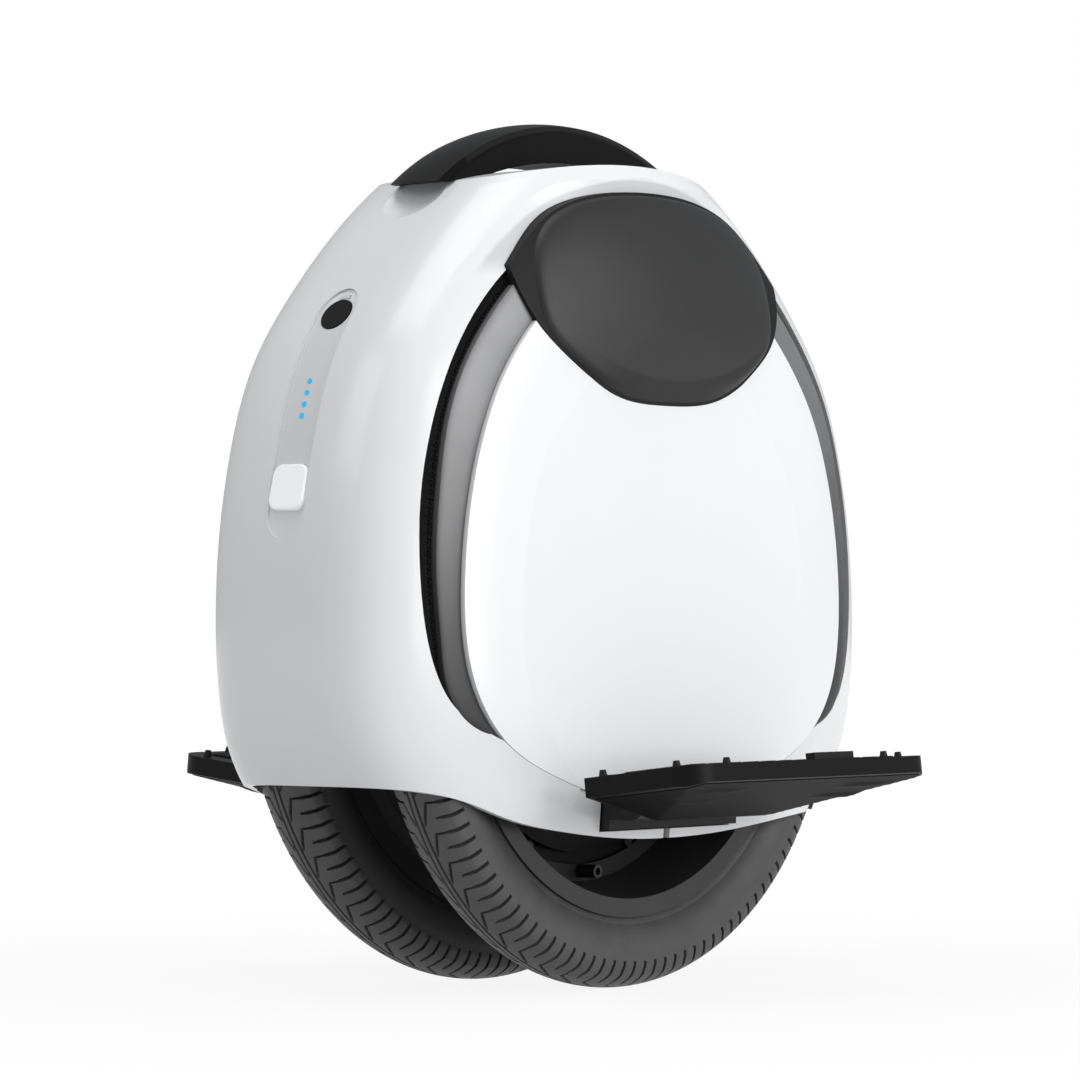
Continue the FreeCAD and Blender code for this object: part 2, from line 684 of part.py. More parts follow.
def sill():
    """Wedge that leads from the skirt up to the lower edge of the side panel."""
    edge = panel_wire(dim.seam).Edges[0]
    wires = []
    for place_share, rise_share in SILL_SHARES:
        point, away = beside(edge, place_share, False)
        outer = point + away * float(dim.sill_width)
        inner = on_side(point.x, point.z)
        rim = on_side(outer.x, outer.z)
        root = float(dim.sill_root)
        corners = [Vector(outer.x, rim - float(dim.seam), outer.z),
                   Vector(point.x, inner + float(dim.panel_proud * rise_share), point.z),
                   Vector(point.x, inner - root, point.z), Vector(outer.x, rim - root, outer.z)]
        wires.append(Part.makePolygon(corners + corners[:1]))
    return Part.makeLoft(wires, True, False)


front_sill = sill()
sills = two_sides(front_sill) + two_sides(front_sill.mirror(Vector(0, 0, 0), Vector(1, 0, 0)))
shell = shell.fuse(sills)
slit = slab(dim.slit_width, dim.crown_half_width, window_height,
            -dim.slit_width / 2, dim.hanger_face, window_bottom - window_height / 2)
channel_bar = slab(BEYOND, dim.channel_half_width * 2, dim.channel_head - dim.channel_foot,
                   0, -dim.channel_half_width, dim.channel_foot)
forward = Rotation(Vector(0, 1, 0), 90)
channel_ends = []
for height in (dim.channel_foot, dim.channel_head):
    channel_ends.append(drum(dim.channel_half_width, BEYOND, Placement(vec(0, 0, height), forward)))
channel = channel_bar.fuse(channel_ends).cut(form_channel)

button_point = on_front(dim.button_height)[0]
button_place = facing(button_point, panel_normal)


def rounded_square(half, corner, wide=None, shift_y=ZERO):
    """Path of a square, or of a box of another half width, with rounded corners."""
    wide = wide or half
    path = []
    shift = corner * (1 - math.sqrt(0.5))
    for x_sign, y_sign in ((1, 1), (-1, 1), (-1, -1), (1, -1)):
        flat = ((half - corner) * x_sign, wide * y_sign + shift_y)
        upright = (half * x_sign, (wide - corner) * y_sign + shift_y)
        middle = ((half - shift) * x_sign, (wide - shift) * y_sign + shift_y)
        if x_sign * y_sign > 0:
            path.append(upright)
            path.append(middle + flat)
        else:
            path.append(flat)
            path.append(middle + upright)
    return path


button_hole = new_body("button_hole")
pad(button_hole, sketch_on(button_hole, "XY", [rounded_square(
    dim.button_width / 2 + dim.button_gap, dim.button_corner + dim.button_gap)]), dim.board_depth, both=True)
button_hole.Placement = button_place

board_plane = moved(controls, 0, 0, -dim.board_depth)
lens_holes = []
lenses = []
for number in range(4):
    lens_point = on_front(dim.lens_top - dim.lens_pitch * number)[0]
    lift = (lens_point - board_plane.Base).dot(panel_normal)
    start = facing(lens_point - panel_normal * lift, panel_normal)
    tall = Part.makeCylinder(float(dim.lens_radius), lift + float(dim.lens_proud - dim.channel_depth))
    tall.Placement = start
    lenses.append(tall)
    lens_holes.append(drum(dim.lens_radius, dim.board_depth * 2, start))

flap_hole_radius = dim.flap_radius + dim.flap_gap
flap_floor = dim.flap_depth + dim.flap_thickness + dim.flap_gap
port_holes = [
    drum(flap_hole_radius, dim.boss_depth, moved(port, 0, 0, -flap_floor)),
    drum(dim.socket_radius, dim.boss_depth * 3, moved(port, 0, 0, -dim.boss_depth * 2)),
]
pin_turn = Rotation(Vector(1, 0, 0), -90)
pin_height = dim.flap_depth + dim.flap_thickness / 2


def flap_pin(name, radius, width):
    """Bar across the upper edge of the charge flap, along the axle direction."""
    place = moved(port, -dim.flap_pin_offset, -width / 2, -pin_height)
    return rod(name, radius, width, place.multiply(Placement(Vector(0, 0, 0), pin_turn)))


pin_room = dim.flap_pin_radius + dim.flap_gap
pin_span = dim.flap_pin_length + dim.flap_gap * 2
port_holes.append(flap_pin("pin_hole", pin_room, pin_span).Shape)
pin_slot = slab(dim.flap_pin_offset + pin_room, pin_span, pin_height * 2 + pin_room, ZERO, ZERO, ZERO)
pin_slot.Placement = moved(port, -(dim.flap_pin_offset + pin_room), -pin_span / 2, -(pin_height + pin_room))
port_holes.append(pin_slot)

doc.recompute()
port_holes[2] = doc.getObject("pin_hole").Shape
shell = shell.cut(
    two_sides(opening) + two_sides(panel_place) + two_sides(pad_place) + two_sides(crest_cut())
    + two_sides(window) + two_sides(slit) + [below_edge(), tyre_space])
shell = shell.cut([dish(1, ZERO), dish(-1, ZERO), well(ZERO), channel, button_hole.Shape] + port_holes + lens_holes)

# Side build-up: black frame behind, raised white panel, grey bezel, light strip and knee pad.

top_box = slab(BEYOND, ACROSS, dim.egg_height, -dim.egg_half_length, 0, dim.facet_foot - dim.seam)
top_rim = top_box.cut([side_prism(opening_wire(-dim.seam)), side_prism(pad_wire())])
axle_hole = drum(dim.nut_across, ACROSS, Placement(vec(0, 0, dim.tyre_radius), Rotation(Vector(1, 0, 0), -90)))
side_frame = side_prism(opening_wire(dim.frame_overlap)).common(form_wall)
side_frame = side_frame.cut([form_frame, top_rim, tyre_space, window, axle_hole])
pair(feature("side_frame", side_frame), "side_frame")

side_panel = side_prism(panel_wire()).common(form_panel).cut([form_wall, pad_place, window])
pair(feature("side_panel", side_panel), "side_panel")

above_foot = slab(BEYOND, ACROSS, dim.egg_height, -dim.egg_half_length, 0, dim.bezel_foot)
bezel_band = side_prism(bezel_wire()).common(side_prism(opening_wire(-dim.seam))).common(above_foot)
bezel_ring = bezel_band.cut([panel_place, pad_place]).common(form_bezel).cut(form_wall)
pair(feature("bezel_ring", bezel_ring), "bezel_ring")

pad_corner = dim.pad_top - dim.pad_height * (1 - PAD_UPPER_SHARES[0][1])
strip_zone = slab(BEYOND, ACROSS, pad_corner - dim.strip_foot, -dim.egg_half_length, 0, dim.strip_foot)
strip_band = side_prism(opening_wire(-dim.strip_side_room)).common(strip_zone)
light_strip = strip_band.cut([bezel_place, pad_place]).common(form_strip).cut(form_seat)
pair(feature("light_strip", light_strip), "light_strip")

pad_base = side_prism(pad_wire()).common(form_pad_base).cut(form_wall)
pair(feature("pad_base", pad_base), "pad_base")

# The soft pad covers the middle of its base, with bevelled edges and round ends.
bevel_foot = pad_wire(-dim.pad_inset, dim.pad_root)
bevel_head = pad_wire(-(dim.pad_inset + dim.pad_round), dim.crown_half_width + dim.pad_proud)
pad_middle = dim.pad_top - dim.pad_height / 2
pad_ends = Part.makeCone(float(dim.pad_end_radius + dim.pad_round), float(dim.pad_end_radius - dim.pad_round),
                         float(ACROSS), vec(0, 0, pad_middle), Vector(0, 1, 0))
knee_pad = Part.makeLoft([bevel_foot, bevel_head], True, True).common(pad_ends).common(form_pad).cut(form_pad_base)
pair(feature("knee_pad", knee_pad), "knee_pad")

# Carrying handle: an arch on the deck, open beneath for the fingers, with a soft grip strip along its back.

handle_end = dim.deck_height - dim.deck_drop
handle_span = dim.deck_half_length
handle_rise = dim.handle_top - handle_end
handle_half_length = dim.handle_half_length
handle_radius = (handle_half_length * handle_half_length + handle_rise * handle_rise) / (handle_rise * 2)
handle_centre = dim.handle_top - handle_radius
side_radius = handle_radius - dim.handle_crown
handle_half = dim.handle_half_width

handle = new_body("handle")
bind(handle, **{"Placement.Base.z": handle_centre})
spin(handle, sketch_on(handle, "YZ", [[
    (-handle_half, ZERO), (handle_half, ZERO), (handle_half, side_radius - dim.handle_bevel),
    (handle_half - dim.handle_bevel, side_radius + dim.handle_bevel * CROWN_SHARE),
    (ZERO, handle_radius, dim.handle_bevel - handle_half, side_radius + dim.handle_bevel * CROWN_SHARE),
    (-handle_half, side_radius - dim.handle_bevel)]]))
under_deck = [
    (-handle_span, handle_end - handle_centre),
    (ZERO, dim.deck_height - handle_centre, handle_span, handle_end - handle_centre),
    (handle_span + handle_radius, handle_end - handle_centre), (handle_span + handle_radius, -handle_radius * 2),
    (-handle_span - handle_radius, -handle_radius * 2), (-handle_span - handle_radius, handle_end - handle_centre)]
pocket(handle, sketch_on(handle, "XZ", [under_deck]), dim.handle_half_width * 4, both=True)
belly = [
    (-dim.arch_half_length, dim.arch_foot - handle_centre),
    (ZERO, dim.arch_height - handle_centre, dim.arch_half_length, dim.arch_foot - handle_centre),
    (dim.arch_half_length, ZERO), (-dim.arch_half_length, ZERO)]
pocket(handle, sketch_on(handle, "XZ", [belly]), dim.handle_half_width * 4, both=True)

grip_box = block("grip_box", dim.grip_half_length * 2, ACROSS * 2, dim.egg_height,
                 -dim.grip_half_length, -ACROSS, dim.deck_height - dim.deck_drop)
grip_drum = rod("grip_drum", handle_radius - dim.grip_thickness, ACROSS * 2,
                Placement(vec(0, -ACROSS, handle_centre), Rotation(Vector(1, 0, 0), -90)))
grip_zone = cut("grip_zone", grip_box, grip_drum)
node(common("handle_grip", handle, grip_zone), "handle_grip")

deck_radius = (handle_span * handle_span + dim.deck_drop * dim.deck_drop) / (dim.deck_drop * 2)
screw_holes = []
screw_seats = []
screws = []
for x_sign in (-1, 1):
    for y_sign in (-1, 1):
        x = dim.handle_screw_x * x_sign
        y = dim.handle_screw_y * y_sign
        sag = float(deck_radius) - math.sqrt(float(deck_radius) ** 2 - float(x) ** 2)
        base = dim.deck_height - sag - dim.wall
        place = Placement(vec(x, y, base), Rotation())
        screw_holes.append(rod("screw_hole", dim.handle_screw_radius, dim.handle_screw_length, place))
        seat_depth = dim.screw_head_height * 2
        screw_seats.append(drum(dim.handle_screw_head + dim.seam, seat_depth, moved(place, 0, 0, -seat_depth)))
        shank = Part.makeCylinder(float(dim.handle_screw_radius), float(dim.handle_screw_length), place.Base)
        head_base = vec(x, y, base - dim.screw_head_height)
        head = Part.makeCylinder(float(dim.handle_screw_head), float(dim.screw_head_height), head_base)
        screws.append(shank.fuse(head))
screw_tool = fuse("screw_tool", *screw_holes)
node(cut("handle_core", handle, grip_zone, screw_tool), "handle_core")
node(feature("handle_screws", Part.makeCompound(screws)), "handle_screws")
doc.recompute()
node(feature("main_shell", shell.cut([hole.Shape for hole in screw_holes] + screw_seats)), "main_shell")

# Control face: press button, charge-level lenses, their board, and the charge port under a flap.

power_button = new_body("power_button")
cap_depth = dim.button_flange_depth + dim.button_proud
cap_sketch = sketch_on(power_button, "XY", [rounded_square(dim.button_width / 2, dim.button_corner)],
                       lift=-dim.button_flange_depth)
cap = pad(power_button, cap_sketch, cap_depth)
cap_round = round_edges(power_button, cap, lambda edge: same(edge.BoundBox.ZMin, dim.button_proud), dim.button_round)
flange_sketch = sketch_on(power_button, "XY", [rounded_square(
    dim.button_width / 2 + dim.button_flange, dim.button_corner + dim.button_flange)], lift=-dim.button_flange_depth)
pad(power_button, flange_sketch, dim.button_flange_thickness, flip=True)
power_button.Placement = button_place
node(power_button, "power_button")

node(feature("charge_lenses", Part.makeCompound(lenses)), "charge_lenses")

indicator_board = block("indicator_board", dim.board_length, dim.board_half_width * 2, dim.board_thickness,
                        ZERO, ZERO, ZERO)
indicator_board.Placement = moved(controls, -dim.board_length / 2, -dim.board_half_width,
                                  -(dim.board_depth + dim.board_thickness))
node(indicator_board, "indicator_board")
switch_drop = (button_point - board_plane.Base).dot(panel_normal)
switch_room = dim.button_flange_depth + dim.button_flange_thickness + dim.button_travel + dim.seam
button_switch = block("button_switch", dim.switch_width, dim.switch_width, length(switch_drop) - switch_room,
                      ZERO, ZERO, ZERO)
button_switch.Placement = moved(button_place, -dim.switch_width / 2, -dim.switch_width / 2, -switch_drop)
node(button_switch, "button_switch")

socket_top = flap_floor + dim.seam
barrel = rod("socket_barrel", dim.socket_radius, dim.socket_length, moved(port, 0, 0, -(socket_top + dim.socket_length)))
lock_nut = rod("socket_nut", dim.socket_nut_radius, dim.socket_nut_thickness,
               moved(port, 0, 0, -(dim.boss_depth + dim.socket_nut_thickness)))
socket_bore = rod("socket_bore", dim.socket_bore, dim.socket_length - dim.socket_floor,
                  moved(port, 0, 0, -(socket_top + dim.socket_length - dim.socket_floor)))
contacts = []
for turn in range(3):
    angle = math.radians(120 * turn)
    x = dim.socket_contact_orbit * math.cos(angle)
    y = dim.socket_contact_orbit * math.sin(angle)
    contacts.append(rod("socket_contact", dim.socket_contact_radius, dim.socket_floor,
                        moved(port, x, y, -(socket_top + dim.socket_length - dim.socket_floor / 4))))
socket = cut("charge_socket", fuse("socket_sum", barrel, lock_nut), socket_bore, *contacts)
node(socket, "charge_socket")

flap_disc = rod("flap_disc", dim.flap_radius, dim.flap_thickness, moved(port, 0, 0, -(dim.flap_depth + dim.flap_thickness)))
flap_bar = flap_pin("flap_bar", dim.flap_pin_radius, dim.flap_pin_length)
tongue_thickness = dim.flap_thickness / 2
tongue = block("flap_tongue", dim.flap_pin_offset, dim.flap_pin_length, tongue_thickness, ZERO, ZERO, ZERO)
tongue.Placement = moved(port, -dim.flap_pin_offset, -dim.flap_pin_length / 2, -(pin_height + tongue_thickness / 2))
node(fuse("port_flap", flap_disc, flap_bar, tongue), "port_flap")

# Wheel: two tyres with tubes on two rims, bolted to the motor ring between them.

half = dim.tyre_half_width
centre = dim.tyre_centre
hollow_half = dim.bead_half_width - dim.tyre_wall
tyre_path = [
    (centre - half, dim.tyre_belly_radius, centre - dim.shoulder_half_width, dim.shoulder_radius),
    (centre, dim.tyre_radius, centre + dim.shoulder_half_width, dim.shoulder_radius),
    (centre + half, dim.tyre_belly_radius, centre + dim.bead_half_width, dim.rim_lip_radius),
    (centre + dim.bead_half_width, dim.bead_radius),
    (centre + hollow_half, dim.bead_radius),
    (centre + hollow_half, dim.rim_lip_radius),
    (centre + half - dim.tyre_wall, dim.tyre_belly_radius, centre + hollow_half, dim.shoulder_radius - dim.tyre_wall),
    (centre - hollow_half, dim.shoulder_radius - dim.tyre_wall),
    (centre - half + dim.tyre_wall, dim.tyre_belly_radius, centre - hollow_half, dim.rim_lip_radius),
    (centre - hollow_half, dim.bead_radius),
    (centre - dim.bead_half_width, dim.bead_radius),
    (centre - dim.bead_half_width, dim.rim_lip_radius),
]
tyre = turned("tyre", tyre_path)
pair(tyre, "tyre")

outer_wall = dim.rim_lip_width
rim_path = [
    (dim.ring_half_width, dim.rim_bore_back),
    (dim.rim_face, dim.rim_bore_face),
    (dim.rim_face, dim.rim_lip_radius),
    (dim.rim_face - outer_wall, dim.rim_lip_radius),
    (dim.rim_face - outer_wall, dim.bead_radius),
    (centre + dim.bead_half_width - dim.tyre_wall, dim.bead_radius),
    (centre + dim.bead_half_width - dim.tyre_wall - outer_wall, dim.rim_well_radius + dim.rim_barrel_wall / 2),
    (centre - dim.bead_half_width + dim.tyre_wall + outer_wall, dim.rim_well_radius + dim.rim_barrel_wall / 2),
    (centre - dim.bead_half_width + dim.tyre_wall, dim.bead_radius),
    (dim.rim_back + outer_wall, dim.bead_radius),
    (dim.rim_back + outer_wall, dim.rim_lip_radius),
    (dim.rim_back, dim.rim_lip_radius),
    (dim.rim_back, dim.rim_well_radius),
    (dim.ring_half_width, dim.rim_well_radius),
]
rim = turned("rim", rim_path)
pair(rim, "rim")


def hollow_ring(side):
    """Inner tube of one tyre: a thin-walled ring."""
    parts = []
    for growth in (ZERO, dim.tube_wall):
        ring = doc.addObject("Part::Torus", "tube_ring")
        bind(ring, Radius1=dim.tube_centre_radius, Radius2=dim.tube_radius - growth)
        ring.Placement = Placement(vec(0, centre * side, dim.tyre_radius), Rotation(Vector(1, 0, 0), 90))
        parts.append(ring)
    return cut("inner_tube", *parts)


inner_tubes = doc.addObject("Part::Compound", "inner_tubes_set")
inner_tubes.Links = [hollow_ring(1), hollow_ring(-1)]
node(inner_tubes, "inner_tubes")


def facing_side(x, y, z, side):
    """Placement at a point with its z axis along the axle towards the given side."""
    return Placement(vec(x, y, z), Rotation(Vector(1, 0, 0), -90 * side))


valves = []
for side in (1, -1):
    place = facing_side(ZERO, (dim.ring_half_width - dim.valve_seat) * side, dim.tyre_radius - dim.valve_orbit, side)
    stem = rod("valve_stem", dim.valve_radius, dim.valve_length + dim.valve_seat, place)
    hole = rod("valve_hole", dim.valve_bore, dim.valve_length + dim.valve_seat,
               moved(place, 0, 0, dim.valve_seat))
    valves.append(cut("valve", stem, hole))
valve_set = doc.addObject("Part::Compound", "valves_set")
valve_set.Links = valves
node(valve_set, "valves")

# Hub motor: ring with magnets and two covers on bearings, round a wound stator fixed to the axle.

ring_path = [
    (-dim.ring_half_width, dim.ring_inner_radius), (-dim.cover_inner, dim.ring_inner_radius),
    (-dim.cover_inner, dim.yoke_radius), (dim.cover_inner, dim.yoke_radius),
    (dim.cover_inner, dim.ring_inner_radius), (dim.ring_half_width, dim.ring_inner_radius),
    (dim.ring_half_width, dim.rim_well_radius), (-dim.ring_half_width, dim.rim_well_radius),
]
motor_ring = turned("motor_ring_blank", ring_path)
valve_seats = []
for side in (1, -1):
    place = facing_side(ZERO, (dim.ring_half_width - dim.valve_seat) * side, dim.tyre_radius - dim.valve_orbit, side)
    valve_seats.append(rod("valve_seat", dim.valve_radius, dim.valve_seat * 2, place))

cover_path = [
    (dim.cover_inner, dim.cover_boss_radius), (dim.cover_inner, dim.ring_inner_radius),
    (dim.cover_groove_floor, dim.ring_inner_radius), (dim.cover_groove_floor, dim.cover_edge_radius),
    (dim.cover_edge, dim.cover_edge_radius), (dim.cover_boss, dim.cover_boss_radius),
    (dim.cover_boss, dim.bearing_radius - dim.cover_thickness),
    (dim.cover_boss - dim.cover_thickness, dim.bearing_radius - dim.cover_thickness),
    (dim.cover_boss - dim.cover_thickness, dim.bearing_radius),
    (dim.cover_boss - dim.cover_thickness - dim.bearing_width, dim.bearing_radius),
    (dim.cover_boss - dim.cover_thickness - dim.bearing_width, dim.cover_boss_radius - dim.cover_thickness),
    (dim.cover_inner, dim.cover_boss_radius - dim.cover_thickness),
]
motor_cover = turned("motor_cover", cover_path[1:])

BOLT_COUNT = 8
bolts = []
bolt_holes = []
for side in (1, -1):
    for turn in range(BOLT_COUNT):
        angle = math.radians(360 * (turn + 0.5) / BOLT_COUNT)
        x = dim.cover_bolt_orbit * math.sin(angle)
        z = dim.tyre_radius + dim.cover_bolt_orbit * math.cos(angle)
        place = facing_side(x, (dim.cover_groove_floor - dim.cover_bolt_length) * side, z, side)
        bolt_holes.append(rod("bolt_hole", dim.cover_bolt_radius, dim.cover_bolt_length * 2, place))
        shank = Part.makeCylinder(float(dim.cover_bolt_radius), float(dim.cover_bolt_length))
        head = Part.makeCylinder(float(dim.cover_bolt_head), float(dim.screw_head_height),
                                 vec(0, 0, dim.cover_bolt_length))
        bolt = shank.fuse(head)
        bolt.Placement = place
        bolts.append(bolt)
bolt_tool = fuse("bolt_tool", *bolt_holes)
node(cut("motor_ring_drilled", motor_ring, fuse("seat_tool", *valve_seats), bolt_tool), "motor_ring")
node(feature("cover_bolts", Part.makeCompound(bolts)), "cover_bolts")
pair(cut("motor_cover_drilled", motor_cover, bolt_tool), "motor_cover")

bearings = []
for side in (1, -1):
    base = (dim.cover_boss - dim.cover_thickness - dim.bearing_width) * side
    place = facing_side(ZERO, base, dim.tyre_radius, side)
    race = rod("bearing_race", dim.bearing_radius, dim.bearing_width, place)
    bore = rod("bearing_bore", dim.axle_radius + dim.running_clearance, dim.bearing_width * 3,
               moved(place, 0, 0, -dim.bearing_width))
    bearings.append(cut("bearing", race, bore))
bearing_set = doc.addObject("Part::Compound", "wheel_bearings_set")
bearing_set.Links = bearings
node(bearing_set, "wheel_bearings")

MAGNET_COUNT = 40
magnet_outer = float(dim.yoke_radius - dim.seam)
magnet_inner = magnet_outer - float(dim.magnet_thickness)
magnet_arc = 360.0 / MAGNET_COUNT * 0.86
magnets = []
for turn in range(MAGNET_COUNT):
    outside = Part.makeCylinder(magnet_outer, float(dim.magnet_half_width * 2), Vector(0, 0, 0),
                                Vector(0, 0, 1), magnet_arc)
    inside = Part.makeCylinder(magnet_inner, float(dim.magnet_half_width * 2), Vector(0, 0, 0),
                               Vector(0, 0, 1), magnet_arc)
    magnet = outside.cut(inside)
    spun = Rotation(Vector(0, 0, 1), 360.0 * turn / MAGNET_COUNT)
    lying = Placement(vec(0, dim.magnet_half_width, dim.tyre_radius), Rotation(Vector(1, 0, 0), 90))
    magnet.Placement = lying.multiply(Placement(Vector(0, 0, 0), spun))
    magnets.append(magnet)
node(feature("rotor_magnets", Part.makeCompound(magnets)), "rotor_magnets")

TOOTH_COUNT = 24
stator_radius = dim.yoke_radius - dim.seam - dim.magnet_thickness - dim.air_gap
stator = at_axle(new_body("stator_core"))
pad(stator, sketch_on(stator, "XZ", circles=[
    (ZERO, ZERO, dim.stator_back), (ZERO, ZERO, dim.stator_bore)]), dim.stator_half_width * 2, both=True)
tooth_half = dim.tooth_width / 2
tip_base = stator_radius - dim.tooth_tip
tooth_root = dim.stator_back - dim.tooth_tip
tip_half = tooth_half + dim.slot_mouth
tooth_path = [(-tooth_half, tooth_root), (-tooth_half, tip_base), (-tip_half, tip_base + dim.tooth_tip / 2),
              (-tip_half, stator_radius - dim.air_gap), (tip_half, stator_radius - dim.air_gap),
              (tip_half, tip_base + dim.tooth_tip / 2), (tooth_half, tip_base), (tooth_half, tooth_root)]
tooth = pad(stator, sketch_on(stator, "XZ", [tooth_path]), dim.stator_half_width * 2, both=True)
polar(stator, tooth, TOOTH_COUNT)
spider = pad(stator, sketch_on(stator, "XZ", circles=[
    (ZERO, ZERO, dim.stator_bore + dim.tooth_tip), (ZERO, ZERO, dim.axle_seat_radius)]),
    dim.spider_half_width * 2, both=True)
hole_orbit = (dim.stator_bore + dim.axle_seat_radius) / 2
lightening = pocket(stator, sketch_on(stator, "XZ", circles=[(ZERO, hole_orbit, dim.spider_hole_radius)]),
                    dim.stator_half_width * 2, both=True)
polar(stator, lightening, 6)
node(stator, "stator_core")

coil_low = float(dim.stator_back + dim.coil_gap)
coil_high = float(tip_base - dim.coil_gap)
inner_x = float(tooth_half)
inner_y = float(dim.stator_half_width)
thick = float(dim.coil_thickness)
coils = []
for turn in range(TOOTH_COUNT):
    wide = Part.makeBox(2 * (inner_x + thick), 2 * (inner_y + thick), coil_high - coil_low,
                        Vector(-inner_x - thick, -inner_y - thick, coil_low))
    inside = Part.makeBox(2 * inner_x, 2 * inner_y, coil_high - coil_low, Vector(-inner_x, -inner_y, coil_low))
    coil = wide.cut(inside)
    spun = Rotation(Vector(0, 1, 0), 360.0 * turn / TOOTH_COUNT)
    coil.Placement = Placement(vec(0, 0, dim.tyre_radius), spun)
    coils.append(coil)
node(feature("stator_coils", Part.makeCompound(coils)), "stator_coils")

axle_path = [
    (-dim.axle_half_length, 0), (dim.axle_half_length, 0),
    (dim.axle_half_length, dim.axle_end_radius), (dim.axle_step, dim.axle_end_radius),
    (dim.axle_step, dim.axle_radius), (dim.axle_seat_half, dim.axle_radius),
    (dim.axle_seat_half, dim.axle_seat_radius), (-dim.axle_seat_half, dim.axle_seat_radius),
    (-dim.axle_seat_half, dim.axle_radius), (-dim.axle_step, dim.axle_radius),
    (-dim.axle_step, dim.axle_end_radius), (-dim.axle_half_length, dim.axle_end_radius),
]
axle = turned("axle", axle_path)
flat_depth = dim.axle_radius
for side in (1, -1):
    flats = []
    start = dim.axle_step * side
    end = (dim.axle_half_length + dim.axle_radius) * side
    for edge in (1, -1):
        near = dim.axle_flat * edge
        far = (dim.axle_flat + flat_depth) * edge
        flats.append([(near, start), (far, start), (far, end), (near, end)])
    pocket(axle, sketch_on(axle, "XY", flats), dim.axle_radius * 4, both=True)
node(axle, "axle")


def flat_circle(radius, flat):
    """Path of a round hole with two flats, about the origin."""
    rise = math.sqrt(float(radius) ** 2 - float(flat) ** 2)
    share = rise / float(radius)
    z = radius * share
    return [(ZERO, -radius, flat, -z), (flat, z), (ZERO, radius, -flat, z), (-flat, -z)]


nuts = []
across = dim.nut_across / math.sqrt(3)
for side in (1, -1):
    corners = []
    for turn in range(6):
        angle = math.radians(60 * turn)
        corners.append((across * math.cos(angle), across * math.sin(angle)))
    nut = at_axle(new_body("axle_nut"))
    face = dim.hanger_face * -side
    sketch = sketch_on(nut, "XZ", [corners], lift=face)
    pad(nut, sketch, dim.nut_thickness, flip=side > 0)
    pocket(nut, sketch_on(nut, "XZ", circles=[(ZERO, ZERO, dim.axle_end_radius)], lift=face),
           dim.nut_thickness * 3, both=True)
    nuts.append(nut)
nut_set = doc.addObject("Part::Compound", "axle_nuts_set")
nut_set.Links = nuts
node(nut_set, "axle_nuts")

# Hangers: flat plates on the axle ends that carry the casing above and the pedal brackets below.

LAST_SHARE = STATION_SHARES[-1]
frame_back = (dim.crown_half_width - dim.wall - dim.frame_wall) * LAST_SHARE
axle_z = dim.tyre_radius
arm_top = axle_z + dim.hanger_arm_height
foot_top = dim.hanger_foot + dim.hanger_foot_height
right_side = [
    (dim.hanger_foot_half, dim.hanger_foot), (dim.hanger_foot_half, foot_top),
    (dim.hanger_waist_half, axle_z - dim.hanger_waist_half), (dim.hanger_waist_half, axle_z),
    (dim.hanger_arm_half, arm_top - dim.hanger_arm_width), (dim.hanger_arm_half, arm_top),
    (dim.hanger_arm_half - dim.hanger_arm_width, arm_top),
]
left_side = [(-x, z) for x, z in right_side[::-1]]
hanger = new_body("hanger")
plate_sketch = sketch_on(hanger, "XZ", [right_side + [(ZERO, axle_z + dim.hanger_crotch)] + left_side],
                         lift=-dim.hanger_face)
pad(hanger, plate_sketch, dim.hanger_thickness)
boss_x = dim.hanger_arm_half - dim.hanger_arm_width / 2
boss_z = arm_top - dim.hanger_arm_width / 2
boss_spots = [(boss_x, boss_z), (-boss_x, boss_z)]
boss_sketch = sketch_on(hanger, "XZ", circles=[spot + (dim.hanger_boss_radius,) for spot in boss_spots],
                        lift=-dim.hanger_face)
pad(hanger, boss_sketch, frame_back - dim.hanger_face, flip=True)
slot_path = []
for step in flat_circle(dim.axle_end_radius, dim.axle_flat):
    slot_path.append(tuple(value + axle_z if place % 2 else length(value) for place, value in enumerate(step)))
bracket_middle = dim.bracket_foot + dim.bracket_height / 2
bracket_spots = []
for x_sign in (-1, 1):
    for z_sign in (-1, 1):
        bracket_spots.append((dim.bracket_bolt_x * x_sign, bracket_middle + dim.bracket_bolt_z * z_sign))
hole_list = [spot + (dim.hanger_bolt_radius,) for spot in boss_spots]
hole_list += [spot + (dim.bracket_bolt_radius,) for spot in bracket_spots]
hole_sketch = sketch_on(hanger, "XZ", [slot_path], hole_list, lift=-dim.hanger_face)
pocket(hanger, hole_sketch, dim.hanger_face, both=True)
pair(hanger, "hanger")


def bolt_group(name, spots, radius, head, shank_end):
    """Bolts put in from the wheel side of both hangers."""
    group = []
    start = dim.hanger_face - dim.hanger_thickness
    for side in (1, -1):
        for x, z in spots:
            place = facing_side(x, (start - dim.hanger_bolt_head_height) * side, z, side)
            bolt = Part.makeCylinder(float(head), float(dim.hanger_bolt_head_height))
            shank_length = float(shank_end - start + dim.hanger_bolt_head_height)
            bolt = bolt.fuse(Part.makeCylinder(float(radius), shank_length))
            bolt.Placement = place
            group.append(bolt)
    return node(feature(name, Part.makeCompound(group)), name)


bolt_group("hanger_bolts", boss_spots, dim.hanger_bolt_radius, dim.hanger_bolt_head, frame_back)
bracket_face = dim.hinge_y - dim.bracket_face_gap
bolt_group("bracket_bolts", bracket_spots, dim.bracket_bolt_radius, dim.bracket_bolt_head,
           bracket_face - dim.hanger_bolt_head_height)

# Hinge brackets: a block on each hanger foot with two lugs that hold the pedal pin.

